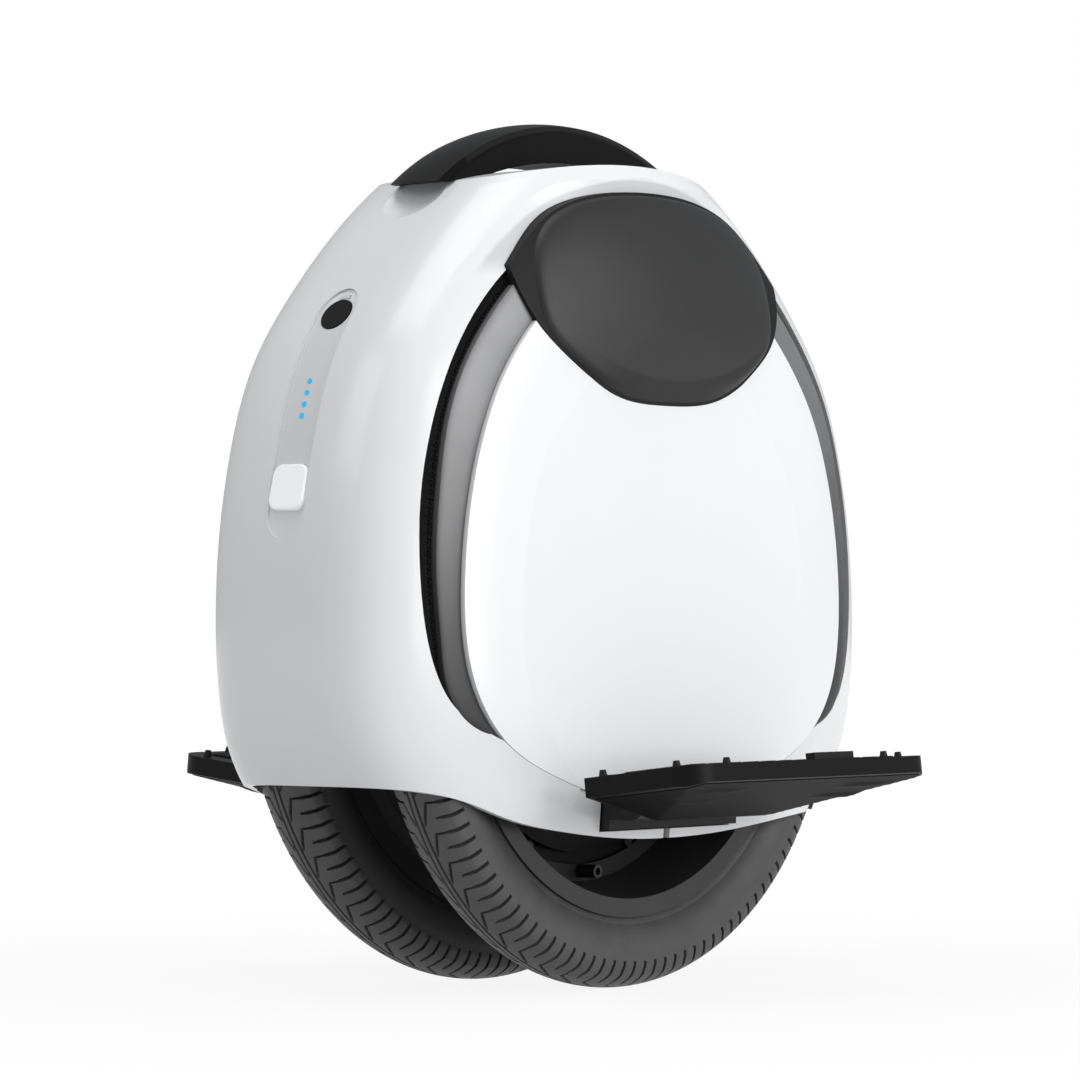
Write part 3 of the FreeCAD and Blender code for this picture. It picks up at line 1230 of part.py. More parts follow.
lug_outer = dim.lug_inner + dim.lug_width
bracket = new_body("hinge_bracket")
bracket_top = dim.bracket_foot + dim.bracket_height
pad(bracket, sketch_on(bracket, "YZ", [[
    (dim.hanger_face, dim.bracket_foot), (bracket_face, dim.bracket_foot),
    (bracket_face, bracket_top), (dim.hanger_face, bracket_top)]]), lug_outer * 2, both=True)
lug_path = [(dim.hanger_face, dim.hinge_z - dim.lug_radius), (dim.hinge_y, dim.hinge_z - dim.lug_radius),
            (dim.hinge_y + dim.lug_radius, dim.hinge_z, dim.hinge_y, dim.hinge_z + dim.lug_radius),
            (dim.hanger_face, dim.hinge_z + dim.lug_radius)]
pad(bracket, sketch_on(bracket, "YZ", [lug_path], lift=dim.lug_inner), dim.lug_width)
pad(bracket, sketch_on(bracket, "YZ", [lug_path], lift=-dim.lug_inner), dim.lug_width, flip=True)
pocket(bracket, sketch_on(bracket, "YZ", circles=[(dim.hinge_y, dim.hinge_z, dim.hinge_pin_radius)]),
       lug_outer * 4, both=True)
tap_sketch = sketch_on(bracket, "XZ", circles=[spot + (dim.bracket_bolt_radius,) for spot in bracket_spots],
                       lift=-dim.hanger_face)
pocket(bracket, tap_sketch, bracket_face - dim.hanger_bolt_head_height - dim.hanger_face)
pair(bracket, "hinge_bracket")

pins = []
pin_half = lug_outer + dim.hinge_pin_head
for side in (1, -1):
    start = Placement(vec(-pin_half, dim.hinge_y * side, dim.hinge_z), Rotation(Vector(0, 1, 0), 90))
    pins.append(rod("hinge_pin", dim.hinge_pin_radius, pin_half * 2, start))
pin_set = doc.addObject("Part::Compound", "hinge_pins_set")
pin_set.Links = pins
node(pin_set, "hinge_pins")

# Folding pedals: ribbed castings about the hinge pin, raised a little towards their outer edge.

tilted = Placement(vec(0, dim.hinge_y, dim.hinge_z), Rotation(Vector(1, 0, 0), float(dim.pedal_tilt)))


def on_hinge(body):
    body.Placement = tilted
    bind(body, **{"Placement.Base.y": dim.hinge_y, "Placement.Base.z": dim.hinge_z})
    return body


def outer_corner(edge):
    """Upright edges at the two outer corners of the pedal."""
    box = edge.BoundBox
    upright = same(box.XLength, 0) and same(box.YLength, 0)
    return upright and same(box.YMax, dim.pedal_reach)


pedal = new_body("pedal")
wedge = pad(pedal, sketch_on(pedal, "YZ", [[
    (dim.pedal_inner, dim.pedal_top), (dim.pedal_inner, dim.pedal_top - dim.pedal_inner_depth),
    (dim.pedal_reach, dim.pedal_top - dim.pedal_outer_depth), (dim.pedal_reach, dim.pedal_top)]]),
    dim.pedal_half_length * 2, both=True)
round_edges(pedal, wedge, outer_corner, dim.pedal_corner)
low = dim.pedal_top - dim.pedal_inner_depth
under_end = [(dim.pedal_deep_half, low), (dim.pedal_half_length, dim.pedal_top - dim.pedal_end_depth),
             (dim.pedal_half_length * 2, dim.pedal_top - dim.pedal_end_depth),
             (dim.pedal_half_length * 2, low * 2), (dim.pedal_deep_half, low * 2)]
for side in (-1, 1):
    end_path = [(x * side, z) for x, z in under_end]
    pocket(pedal, sketch_on(pedal, "XZ", [end_path]), dim.pedal_reach * 4, both=True)
COLUMNS = 6
ROWS = 2
cell_x = (dim.pedal_half_length * 2 - dim.pedal_rim * 2 - dim.pedal_rib * (COLUMNS - 1)) / COLUMNS
cell_y = (dim.pedal_reach - dim.pedal_inner - dim.pedal_rim * 2 - dim.pedal_rib * (ROWS - 1)) / ROWS
cells = []
for column in range(COLUMNS):
    for line in range(ROWS):
        x = dim.pedal_rim - dim.pedal_half_length + (cell_x + dim.pedal_rib) * column
        y = dim.pedal_inner + dim.pedal_rim + (cell_y + dim.pedal_rib) * line
        cells.append([(x, y), (x + cell_x, y), (x + cell_x, y + cell_y), (x, y + cell_y)])
pocket(pedal, sketch_on(pedal, "XY", cells, lift=dim.pedal_top - dim.pedal_plate))
knuckle = [(dim.pedal_inner + dim.pedal_rim, dim.knuckle_radius), (ZERO, dim.knuckle_radius),
           (-dim.knuckle_radius, ZERO, ZERO, -dim.knuckle_radius), (dim.pedal_inner + dim.pedal_rim, -dim.knuckle_radius)]
pad(pedal, sketch_on(pedal, "YZ", [knuckle]), dim.knuckle_half_length * 2, both=True)
pocket(pedal, sketch_on(pedal, "YZ", circles=[(ZERO, ZERO, dim.hinge_pin_radius + dim.running_clearance)]),
       dim.pedal_half_length * 2, both=True)
pair(on_hinge(pedal), "pedal")

pedal_mat = new_body("pedal_mat")
mat_low = dim.pedal_inner + dim.mat_inset
mat_high = dim.pedal_reach - dim.mat_inset
pad(pedal_mat, sketch_on(pedal_mat, "XY", [rounded_square(
    dim.pedal_half_length - dim.mat_inset, dim.mat_corner, (mat_high - mat_low) / 2, (mat_high + mat_low) / 2)],
    lift=dim.pedal_top), dim.mat_thickness)
pair(on_hinge(pedal_mat), "pedal_mat")

STUD_SHARES = [(1.0, 0.0), (1.0, 0.82), (0.71, 1.0), (-0.71, 1.0), (-1.0, 0.82), (-1.0, 0.0)]
studs = []
for x_share, y_share in STUD_SHARES:
    stud = doc.addObject("Part::Cone", "stud")
    bind(stud, Radius1=dim.stud_radius, Radius2=dim.stud_tip_radius, Height=dim.stud_height)
    low = dim.pedal_inner + dim.stud_inset
    high = dim.pedal_reach - dim.stud_inset
    stud.Placement = moved(tilted, (dim.pedal_half_length - dim.stud_inset) * x_share,
                           low + (high - low) * y_share, dim.pedal_top)
    studs.append(stud)
bumper = block("bumper", dim.bumper_length, dim.bumper_width, dim.bumper_height, ZERO, ZERO, ZERO)
bumper.Placement = moved(tilted, -(dim.bumper_offset + dim.bumper_length / 2),
                         dim.pedal_reach - dim.bumper_width - dim.wall, dim.pedal_top)
stud_set = doc.addObject("Part::Compound", "pedal_studs_set")
stud_set.Links = studs + [bumper]
pair(stud_set, "pedal_studs")

# Inside the casing: inner arch over the wheel, battery packs on it, motor driver between them.

arch_inner = dim.tyre_radius + dim.tyre_room
arch_outer = arch_inner + dim.arch_wall
side_axis = Placement(vec(0, -ACROSS, axle_z), Rotation(Vector(1, 0, 0), -90))
arch_ring = cut("arch_ring", rod("arch_drum", arch_outer, ACROSS * 2, side_axis),
                rod("arch_hollow", arch_inner, ACROSS * 2, side_axis))
arch_box = block("arch_box", BEYOND, ACROSS * 2, dim.egg_height, -dim.egg_half_length, -ACROSS, dim.arch_end)
cable_room = dim.cable_radius + dim.wall
cable_notch = block("cable_notch", cable_room * 2, dim.crown_half_width, arch_outer,
                    -cable_room, dim.cable_side - cable_room, axle_z + arch_inner / 2)
arch_half = common("arch_half", arch_ring, arch_box)
arch_trim = common("arch_trim", arch_half, feature("arch_form", form_frame))
wheel_arch = cut("wheel_arch", arch_trim, cable_notch)
node(wheel_arch, "wheel_arch")

for side, name in ((1, "battery_front"), (-1, "battery_rear")):
    lean = Placement(vec(0, 0, axle_z), Rotation(Vector(0, 1, 0), float(dim.pack_lean) * side))
    pack = block(name + "_block", dim.pack_length, dim.pack_width, dim.pack_depth, ZERO, ZERO, ZERO)
    pack.Placement = moved(lean, -dim.pack_length / 2, -dim.pack_width / 2, arch_outer)
    doc.recompute()
    wrapped = doc.addObject("Part::Fillet", name)
    wrapped.Base = pack
    longest = [number for number, edge in enumerate(pack.Shape.Edges, 1) if same(edge.Length, dim.pack_width)]
    wrapped.Edges = [(number, float(dim.pack_round), float(dim.pack_round)) for number in longest]
    node(wrapped, name)

sink_base = axle_z + arch_outer
fins = []
FIN_COUNT = 8
fin_step = (dim.sink_length - dim.fin_thickness) / (FIN_COUNT - 1)
for number in range(FIN_COUNT):
    fins.append(block("fin", dim.fin_thickness, dim.sink_width, dim.fin_height + dim.sink_plate / 2,
                      fin_step * number - dim.sink_length / 2, -dim.sink_width / 2, sink_base))
plate = block("sink_plate", dim.sink_length, dim.sink_width, dim.sink_plate,
              -dim.sink_length / 2, -dim.sink_width / 2, sink_base + dim.fin_height)
keel = block("sink_keel", fin_step + dim.fin_thickness, dim.sink_width, dim.fin_height + dim.sink_plate / 2,
             -(fin_step + dim.fin_thickness) / 2, -dim.sink_width / 2, sink_base)
node(fuse("heat_sink", plate, keel, *fins), "heat_sink")
sink_top = sink_base + dim.fin_height + dim.sink_plate
board_z = sink_top + dim.transistor_thickness
board_x = dim.sink_length - dim.main_board_margin * 2
board_y = dim.sink_width - dim.main_board_margin * 2
node(block("control_board", board_x, board_y, dim.board_thickness, -board_x / 2, -board_y / 2, board_z), "control_board")
board_parts = []
for side in (-1, 1):
    for number in (-1, 0, 1):
        x = board_x / 3 * number - dim.transistor_size / 2
        y = (board_y / 2 - dim.transistor_size) * side - dim.transistor_size / 2
        board_parts.append(block("transistor", dim.transistor_size, dim.transistor_size, dim.transistor_thickness,
                                 x, y, sink_top))
for number in (-1, 0, 1):
    place = Placement(vec(board_x / 3 * number, ZERO, board_z + dim.board_thickness), Rotation())
    board_parts.append(rod("capacitor", dim.capacitor_radius, dim.capacitor_height, place))
part_set = doc.addObject("Part::Compound", "board_parts_set")
part_set.Links = board_parts
node(part_set, "board_parts")

# Motor lead: out of the axle, through the fork of the left hanger, up beside the tyre, over the arch to the board.

lead_start = axle_z + dim.axle_radius
lead_turn = axle_z + dim.hanger_crotch
lead_top = sink_base + dim.fin_height
lead_places = [
    vec(0, dim.cable_outlet, lead_start), vec(0, dim.cable_outlet, lead_turn - dim.cable_bend / 2),
    vec(0, dim.cable_side, lead_turn + dim.cable_bend * 2), vec(0, dim.cable_side, lead_top),
    vec(0, dim.sink_width / 2 + dim.cable_entry, board_z + dim.board_thickness / 2),
    vec(0, board_y / 2, board_z + dim.board_thickness / 2),
]
spine = Part.makePolygon(lead_places)
ring = Part.Wire([Part.Circle(lead_places[0], Vector(0, 0, 1), float(dim.cable_radius)).toShape()])
node(feature("motor_cable", spine.makePipeShell([ring], True, False, 2)), "motor_cable")

doc.recompute()
faults = []
for thing in doc.Objects:
    if "Invalid" in thing.State or "Error" in thing.State:
        faults.append("%s state %s" % (thing.Name, thing.State))
for thing in NODES:
    if thing.Shape.isNull() or not thing.Shape.isValid() or not thing.Shape.Solids:
        faults.append("%s shape" % thing.Label)
if faults:
    raise RuntimeError("; ".join(faults))

os.makedirs("parts", exist_ok=True)
for thing in NODES:
    thing.Shape.exportStep("parts/%s.step" % thing.Label)
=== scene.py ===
import math

import bmesh
import bpy
import numpy as np
from mathutils import Matrix, Vector


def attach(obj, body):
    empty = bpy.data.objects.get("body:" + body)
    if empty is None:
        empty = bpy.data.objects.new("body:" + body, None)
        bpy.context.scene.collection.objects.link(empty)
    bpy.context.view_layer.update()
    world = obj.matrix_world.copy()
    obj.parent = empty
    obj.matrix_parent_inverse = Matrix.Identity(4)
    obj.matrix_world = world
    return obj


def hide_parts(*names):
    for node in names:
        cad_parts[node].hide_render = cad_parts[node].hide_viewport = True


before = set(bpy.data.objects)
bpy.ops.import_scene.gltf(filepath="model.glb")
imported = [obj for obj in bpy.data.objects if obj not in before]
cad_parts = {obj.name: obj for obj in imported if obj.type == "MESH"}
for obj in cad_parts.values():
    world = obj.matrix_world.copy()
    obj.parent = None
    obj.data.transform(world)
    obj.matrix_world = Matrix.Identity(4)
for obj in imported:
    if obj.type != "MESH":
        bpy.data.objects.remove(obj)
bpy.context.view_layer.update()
scene = bpy.context.scene
scene.view_settings.view_transform = "Standard"

# Stand: the machine is photographed upright on a white studio floor, from its left front at axle
# height. A long lens keeps the egg outline nearly free of perspective. Floor and backdrop stay
# white to the camera, and three softboxes light the machine.

MM = 0.001
CAMERA_PLACE = (1.8894, 1.6531, 0.1969)
CAMERA_BACK = Vector((0.75156, 0.65943, -0.01749)).normalized()
CAMERA_ROLL = math.radians(-0.22)
LENS = 153.56
SENSOR = 36.0
CAMERA_SIGHT = 50.0
level_right = Vector((0, 0, 1)).cross(CAMERA_BACK).normalized()
level_up = CAMERA_BACK.cross(level_right)
right = level_right * math.cos(CAMERA_ROLL) + level_up * math.sin(CAMERA_ROLL)
up = level_up * math.cos(CAMERA_ROLL) - level_right * math.sin(CAMERA_ROLL)
camera = bpy.data.objects.new("camera", bpy.data.cameras.new("camera"))
camera.data.lens = LENS
camera.data.sensor_width = SENSOR
camera.data.clip_end = CAMERA_SIGHT
turn = Matrix((right, up, CAMERA_BACK)).transposed().to_4x4()
camera.matrix_world = Matrix.Translation(CAMERA_PLACE) @ turn
scene.collection.objects.link(camera)
scene.camera = camera


def feed(tree, node, inputs):
    """Sets inputs of a node, each to a number or a colour, or to the output that feeds it."""
    for key, value in inputs.items():
        if isinstance(value, bpy.types.NodeSocket):
            tree.links.new(value, node.inputs[key])
        else:
            node.inputs[key].default_value = value


def add(tree, kind, inputs, **settings):
    """A new shader node with its settings and inputs."""
    node = tree.nodes.new("ShaderNode" + kind)
    for key, value in settings.items():
        setattr(node, key, value)
    feed(tree, node, inputs)
    return node


def reckon(tree, operation, first, second):
    """One value worked out from two, each of them an output or a number."""
    return add(tree, "Math", {0: first, 1: second}, operation=operation).outputs[0]


def show_white(tree, output, plain, white, rays, share):
    """Shows a share of a white surface to two kinds of light ray, and the plain one to the rest."""
    path = add(tree, "LightPath", {})
    seen = reckon(tree, "MAXIMUM", *(path.outputs[ray] for ray in rays))
    weight = reckon(tree, "MULTIPLY", seen, share)
    mixed = add(tree, "MixShader", {0: weight, 1: plain.outputs[0], 2: white.outputs[0]})
    feed(tree, tree.nodes[output], {"Surface": mixed.outputs[0]})


def new_material(name):
    """A material with its shader and output nodes."""
    material = bpy.data.materials.new(name)
    material.use_nodes = True
    return material


def new_mesh(name, material, points, *groups, smooth=True, crease=None):
    """A mesh object at the origin from points in metres and groups of faces, turned outwards.

    crease is the angle in degrees above which an edge is sharp."""
    mesh = bpy.data.meshes.new(name)
    faces = [face for group in groups for face in group.tolist()]
    mesh.from_pydata(points.reshape(-1, 3).tolist(), [], faces)
    shape = bmesh.new()
    shape.from_mesh(mesh)
    bmesh.ops.recalc_face_normals(shape, faces=shape.faces)
    shape.to_mesh(mesh)
    shape.free()
    mesh.polygons.foreach_set("use_smooth", np.full(len(mesh.polygons), smooth))
    if crease is not None:
        mesh.set_sharp_from_angle(angle=math.radians(crease))
    mesh.materials.append(material)
    mesh.update()
    piece = bpy.data.objects.new(name, mesh)
    scene.collection.objects.link(piece)
    return piece


FLOOR_REACH = 12.0
PAPER_GREY = (0.62, 0.62, 0.62, 1)
PAPER_ROUGH = 0.9
PAPER_GLOW = 1.04
SHADE_FROM, SHADE_TO = 0.25, 1.1
SHADE_SHARE = 0.86
paper = new_material("studio_paper")
tree = paper.node_tree
matt = tree.nodes["Principled BSDF"]
feed(tree, matt, {"Base Color": PAPER_GREY, "Roughness": PAPER_ROUGH})
glow = add(tree, "Emission", {"Strength": PAPER_GLOW})
spot = add(tree, "TexCoord", {}).outputs["Object"]
away = add(tree, "VectorMath", {0: spot}, operation="LENGTH").outputs["Value"]
fade = add(tree, "MapRange", {"Value": away, "From Min": SHADE_FROM, "From Max": SHADE_TO,
                              "To Min": SHADE_SHARE, "To Max": 1.0}).outputs["Result"]
show_white(tree, "Material Output", matt, glow, ("Is Camera Ray", "Is Glossy Ray"), fade)
corners = np.array([(-1, -1, 0), (1, -1, 0), (1, 1, 0), (-1, 1, 0)]) * FLOOR_REACH
floor = new_mesh("studio_floor", paper, corners, np.array([[0, 1, 2, 3]]), smooth=False)

ROOM_COLOUR = (0.95, 0.97, 1.0, 1)
ROOM_STRENGTH = 0.42
world = bpy.data.worlds.new("studio")
scene.world = world
world.use_nodes = True
tree = world.node_tree
room = tree.nodes["Background"]
feed(tree, room, {"Color": ROOM_COLOUR, "Strength": ROOM_STRENGTH})
white = add(tree, "Background", {"Color": (1, 1, 1, 1)})
show_white(tree, "World Output", room, white, ("Is Camera Ray", "Is Transmission Ray"), 1.0)

LAMP_AIM = Vector((0, 0, 0.23))
LAMPS = [  # name, place, width in metres, watts
    ("side_softbox", (-0.3, 2.7, 0.8), 2.2, 60.0),
    ("top_softbox", (0.5, 0.1, 2.6), 1.6, 19.0),
    ("front_softbox", (2.4, -0.8, 1.9), 1.4, 11.5),
]
for lamp_name, place, width, power in LAMPS:
    light = bpy.data.lights.new(lamp_name, "AREA")
    light.size = width
    light.energy = power
    lamp = bpy.data.objects.new(lamp_name, light)
    lamp.location = place
    lamp.rotation_euler = (LAMP_AIM - Vector(place)).to_track_quat("-Z", "Y").to_euler()
    scene.collection.objects.link(lamp)

# Hub motor: stacked stator with copper windings on the axle, magnets in an alloy ring, and two
# black cast covers on ball bearings, bolted to the ring. Only the covers and the ring show,
# through the rims.

COAT_ROUGH = 0.12
FINE_DETAIL, SLOW_DETAIL = 3.0, 4.0
TONE_SPAN = (0.3, 0.7)
FLECK_REACH = 0.35
FLECK_GAIN, FLECK_LIFT = 2.2, 0.02
SIDES = ((1, "left"), (-1, "right"))


def overlay(tree, under, mask, colour):
    """A second colour over the one under it, where a mask is 1."""
    inputs = {0: mask, 6: under, 7: tuple(colour) + (1,)}
    return add(tree, "Mix", inputs, data_type="RGBA").outputs[2]


def finish(name, colour, rough, grain=0.0, grain_size=1.0, tone=0.06, tone_size=30.0, metal=0.0,
           coat=0.0, fleck=0.0, shine=0.5, haze=0.06):
    """A procedural finish: fine noise as bump and roughness, slow noise as a change of tone, and
    small pale flecks.

    grain is the height of the bump, and grain_size and tone_size are the lengths of the two
    noises, in millimetres. shine is the level of the reflection, haze the change of roughness."""
    material = new_material(name)
    tree = material.node_tree
    shader = tree.nodes["Principled BSDF"]
    spot = add(tree, "TexCoord", {}).outputs["Object"]
    fine, slow = (
        add(tree, "TexNoise", {"Vector": spot, "Scale": 1.0 / (size * MM), "Detail": detail})
        for size, detail in ((grain_size, FINE_DETAIL), (tone_size, SLOW_DETAIL)))
    shade = add(tree, "ValToRGB", {"Fac": slow.outputs["Fac"]})
    for element, place, lift in zip(shade.color_ramp.elements, TONE_SPAN, (1 - tone, 1 + tone)):
        element.position = place
        element.color = tuple(min(1.0, part * lift) for part in colour) + (1,)
    skin = shade.outputs["Color"]
    if fleck:
        dots = add(tree, "TexVoronoi", {"Vector": spot, "Scale": 1.0 / (grain_size * 2 * MM)})
        near = add(tree, "MapRange", {"Value": dots.outputs["Distance"], "From Min": 0.0,
                                      "From Max": FLECK_REACH, "To Min": fleck, "To Max": 0.0})
        pale = tuple(min(1.0, part * FLECK_GAIN + FLECK_LIFT) for part in colour)
        skin = overlay(tree, skin, near.outputs["Result"], pale)
    gloss = add(tree, "MapRange", {"Value": fine.outputs["Fac"], "To Min": rough - haze,
                                   "To Max": rough + haze})
    feed(tree, shader, {"Base Color": skin, "Roughness": gloss.outputs["Result"], "Metallic": metal,
                        "Specular IOR Level": shine, "Coat Weight": coat,
                        "Coat Roughness": COAT_ROUGH})
    if grain:
        bump = add(tree, "Bump", {"Strength": 1.0, "Distance": grain * MM,
                                  "Height": fine.outputs["Fac"]})
        feed(tree, shader, {"Normal": bump.outputs["Normal"]})
    return material


def wear(material, *names):
    """Puts one material on these CAD nodes."""
    for name in names:
        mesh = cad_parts[name].data
        mesh.materials.clear()
        mesh.materials.append(material)


def pair(name):
    """The left and the right node of a name."""
    return [name + "_" + word for side, word in SIDES]


cover_paint = finish("cover_paint", (0.005, 0.005, 0.0052), 0.42, grain=0.03, grain_size=0.8,
                     shine=0.1)
ring_alloy = finish("ring_alloy", (0.02, 0.02, 0.021), 0.5, grain=0.02, grain_size=0.6, metal=0.3,
                    shine=0.3)
plated_steel = finish("plated_steel", (0.42, 0.42, 0.43), 0.32, grain=0.004, grain_size=0.4,
                      metal=1.0)
blacked_steel = finish("blacked_steel", (0.03, 0.03, 0.031), 0.38, grain=0.004, grain_size=0.4,
                       metal=0.7)
turned_steel = finish("turned_steel", (0.5, 0.5, 0.51), 0.28, grain=0.003, grain_size=0.3,
                      metal=1.0)
magnet_nickel = finish("magnet_nickel", (0.55, 0.54, 0.51), 0.25, metal=1.0)
core_sheet = finish("core_sheet", (0.16, 0.16, 0.17), 0.5, grain=0.02, grain_size=0.5, metal=0.8)
winding_copper = finish("winding_copper", (0.55, 0.22, 0.08), 0.35, grain=0.05, grain_size=0.8,
                        metal=0.9)
wear(cover_paint, *pair("motor_cover"))
wear(ring_alloy, "motor_ring")
wear(plated_steel, "axle_nuts", "handle_screws", "hinge_pins")
wear(blacked_steel, "cover_bolts", "hanger_bolts", "bracket_bolts")
wear(turned_steel, "axle", "wheel_bearings")
wear(magnet_nickel, "rotor_magnets")
wear(core_sheet, "stator_core")
wear(winding_copper, "stator_coils")

# Rims: two alloy rims, black-painted, one on each side of the motor ring. An inner tube of soft
# rubber lies in each tyre, and its angled valve comes out through the rim.

rim_paint = finish("rim_paint", (0.03, 0.03, 0.031), 0.36, grain=0.012, grain_size=0.7, shine=0.4)
tube_rubber = finish("tube_rubber", (0.012, 0.012, 0.012), 0.6, grain=0.03)
valve_black = finish("valve_black", (0.02, 0.02, 0.021), 0.4, grain=0.02, grain_size=0.5)
wear(rim_paint, *pair("rim"))
wear(tube_rubber, "inner_tubes")
wear(valve_black, "valves")

# Tyres: moulded rubber, one on each rim, with two fine grooves round the middle and thin slits
# over each shoulder. From every second slit a slanting cut runs towards the middle. The tread is
# cut into the surface itself.

TYRE_RADIUS = 175.0
TYRE_CENTRE = 48.0
BEAD, BULGE, SHOULDER = (11.0, 137.0), (20.3, 153.0), (17.5, 168.0)
HOLLOW = ((-6.0, 132.0), (-15.0, 153.0), (-6.0, 163.0))
BEAD_RADIUS = 129.8
WALL_POINTS, CROWN_POINTS, HOLLOW_POINTS = 22, 75, 6
MIRROR = (-1, 1)
PERIODS = 60
TREAD_LENGTH = 18.3
GROOVE_PLACE, GROOVE_DEPTH, GROOVE_WALL = 1.7, 1.7, (0.35, 0.6)
STEP_PLACE, STEP_DEPTH = (27.0, 27.6), 0.6
SLITS = ((0.0, 7.5), (0.5, 10.5))  # place in the period, inner end
SLIT_RISE, SLIT_END = 0.5, (26.0, 27.0)
SLIT_FLARE = (12.0, 19.0)
SLIT_FOOT, SLIT_MOUTH, SLIT_DEPTH = (0.45, 0.3), (0.7, 0.4), (2.4, 1.4)  # size, more by flare
SLIT_LEAN = 0.06
CUT_START, CUT_SLOPE = 7.8, 0.34
CUT_WALL, CUT_END, CUT_DEPTH = (0.4, 0.75), (12.5, 13.5), 1.9
SAMPLES_AT_SLIT = (-1.15, -0.72, -0.45, 0.45, 0.72, 1.15)
SAMPLES_BETWEEN = np.linspace(0.09, 0.43, 7)


def arc(first, middle, last, count):
    """Points at even angles on the circle through three points, from the first to the last."""
    first, middle, last = (np.array(point, float) for point in (first, middle, last))
    chords = 2 * np.array([middle - first, last - first])
    squares = np.array([middle @ middle - first @ first, last @ last - first @ first])
    centre = np.linalg.solve(chords, squares)
    start, half, end = (np.arctan2(*(point - centre)[::-1]) for point in (first, middle, last))
    half = start + (half - start + np.pi) % (2 * np.pi) - np.pi
    end = half + (end - half + np.pi) % (2 * np.pi) - np.pi
    angles = np.linspace(start, end, count)
    radius = np.linalg.norm(first - centre)
    return centre + radius * np.stack([np.cos(angles), np.sin(angles)], 1)


def ramp(value, low, high):
    """0 below low, 1 above high and a straight line between."""
    return np.clip((value - low) / (high - low), 0, 1)


def way(line):
    """The way along a line to each of its points, as a running sum of its steps."""
    return np.concatenate([[0], np.cumsum(np.linalg.norm(np.diff(line, axis=0), axis=1))])


def tyre_profile():
    """Section of a tyre in arcs, as (offset from its middle, radius): the outer skin from bead to
    bead over the crown, and the inner skin back round the hollow for the tube."""
    wall = arc(BEAD, BULGE, SHOULDER, WALL_POINTS)
    crown = arc(SHOULDER, (0, TYRE_RADIUS), (-SHOULDER[0], SHOULDER[1]), CROWN_POINTS)
    hollow = arc(*HOLLOW, HOLLOW_POINTS)
    foot = np.array([(-BEAD[0], BEAD_RADIUS), (HOLLOW[0][0], BEAD_RADIUS)])
    outer = np.concatenate([wall, crown[1:-1], wall[::-1] * MIRROR])
    inner = np.concatenate([foot, hollow, hollow[::-1] * MIRROR, foot[::-1] * MIRROR])
    return outer, inner


def tread_depth(along, offset):
    """Depth of the cuts at a place along the tread, 0 to 1 in one period of two slits, and at an
    offset from the middle.

    Each cut is a trench with steep walls, and the deepest one counts: ring grooves, a step at the
    shoulder, slits at 0 and a half that flare outwards, slanting cuts from the slit at 0."""
    side = np.abs(offset)
    depth = GROOVE_DEPTH * (1 - ramp(np.abs(side - GROOVE_PLACE), *GROOVE_WALL))
    depth = np.maximum(depth, STEP_DEPTH * ramp(side, *STEP_PLACE))
    flare = ramp(side, *SLIT_FLARE)
    foot, mouth, full = (size + more * flare for size, more in (SLIT_FOOT, SLIT_MOUTH, SLIT_DEPTH))
    for start, inner in SLITS:
        apart = np.abs((along - start + 0.5) % 1 - 0.5) * TREAD_LENGTH
        reach = ramp(side, inner, inner + SLIT_RISE) * (1 - ramp(side, *SLIT_END))
        depth = np.maximum(depth, full * (1 - ramp(apart, foot, mouth)) * reach)
    lead = (along * TREAD_LENGTH) % TREAD_LENGTH
    apart = np.abs(side - (CUT_START - lead * CUT_SLOPE))
    cut = (1 - ramp(apart, *CUT_WALL)) * (1 - ramp(lead, *CUT_END))
    return np.maximum(depth, CUT_DEPTH * cut)


def tyre(side):
    """Section carried round the axle, with its outer skin sunk by the tread depth along its normal,
    and turned on a little with the offset so that the slits lean."""
    outer, inner = tyre_profile()
    ahead = np.diff(outer, axis=0, append=outer[-1:] * 2 - outer[-2:-1])
    normal = np.stack([ahead[:, 1], -ahead[:, 0]], 1)
    normal /= np.linalg.norm(normal, axis=1)[:, None]
    offset = way(outer) - way(outer)[-1] / 2
    at_slit = np.array(SAMPLES_AT_SLIT) / TREAD_LENGTH
    places = [at_slit % 1, at_slit + 0.5, SAMPLES_BETWEEN, SAMPLES_BETWEEN[1:-1] + 0.5]
    along = (np.arange(PERIODS)[:, None] + np.sort(np.concatenate(places))[None, :]).ravel()
    depth = tread_depth(along[:, None] % 1, offset[None, :])
    section = outer[None] - normal[None] * depth[:, :, None]
    whole = np.concatenate([section, np.broadcast_to(inner, (len(along),) + inner.shape)], 1)
    lean = np.concatenate([SLIT_LEAN * np.abs(offset) / TREAD_LENGTH, np.zeros(len(inner))])
    angle = (along / PERIODS * 2 * np.pi)[:, None] + (lean * 2 * np.pi / PERIODS)[None, :]
    x = whole[..., 1] * np.sin(angle)
    y = (TYRE_CENTRE + whole[..., 0]) * side
    z = TYRE_RADIUS + whole[..., 1] * np.cos(angle)
    return np.stack([x, y, z], -1) * MM


def ring_faces(rows, columns):
    """Quads of a grid that closes on itself both ways."""
    index = np.arange(rows * columns).reshape(rows, columns)
    after = np.roll(index, -1, 0)
    return np.stack([index, np.roll(index, -1, 1), np.roll(after, -1, 1), after], -1).reshape(-1, 4)


tyre_rubber = finish("tyre_rubber", (0.067, 0.067, 0.068), 0.55, grain=0.03, grain_size=0.5,
                     tone=0.12, tone_size=14)
for side, word in SIDES:
    grid = tyre(side)
    faces = ring_faces(*grid.shape[:2])[:, ::side]
    piece = new_mesh("tread_" + word, tyre_rubber, grid, faces, crease=38)
    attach(piece, "wheel")
    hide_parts("tyre_" + word)

# Hangers and hinge brackets: milled alloy plates on the axle ends, which carry the casing.
# Black-painted brackets for the pedals are bolted to their feet.

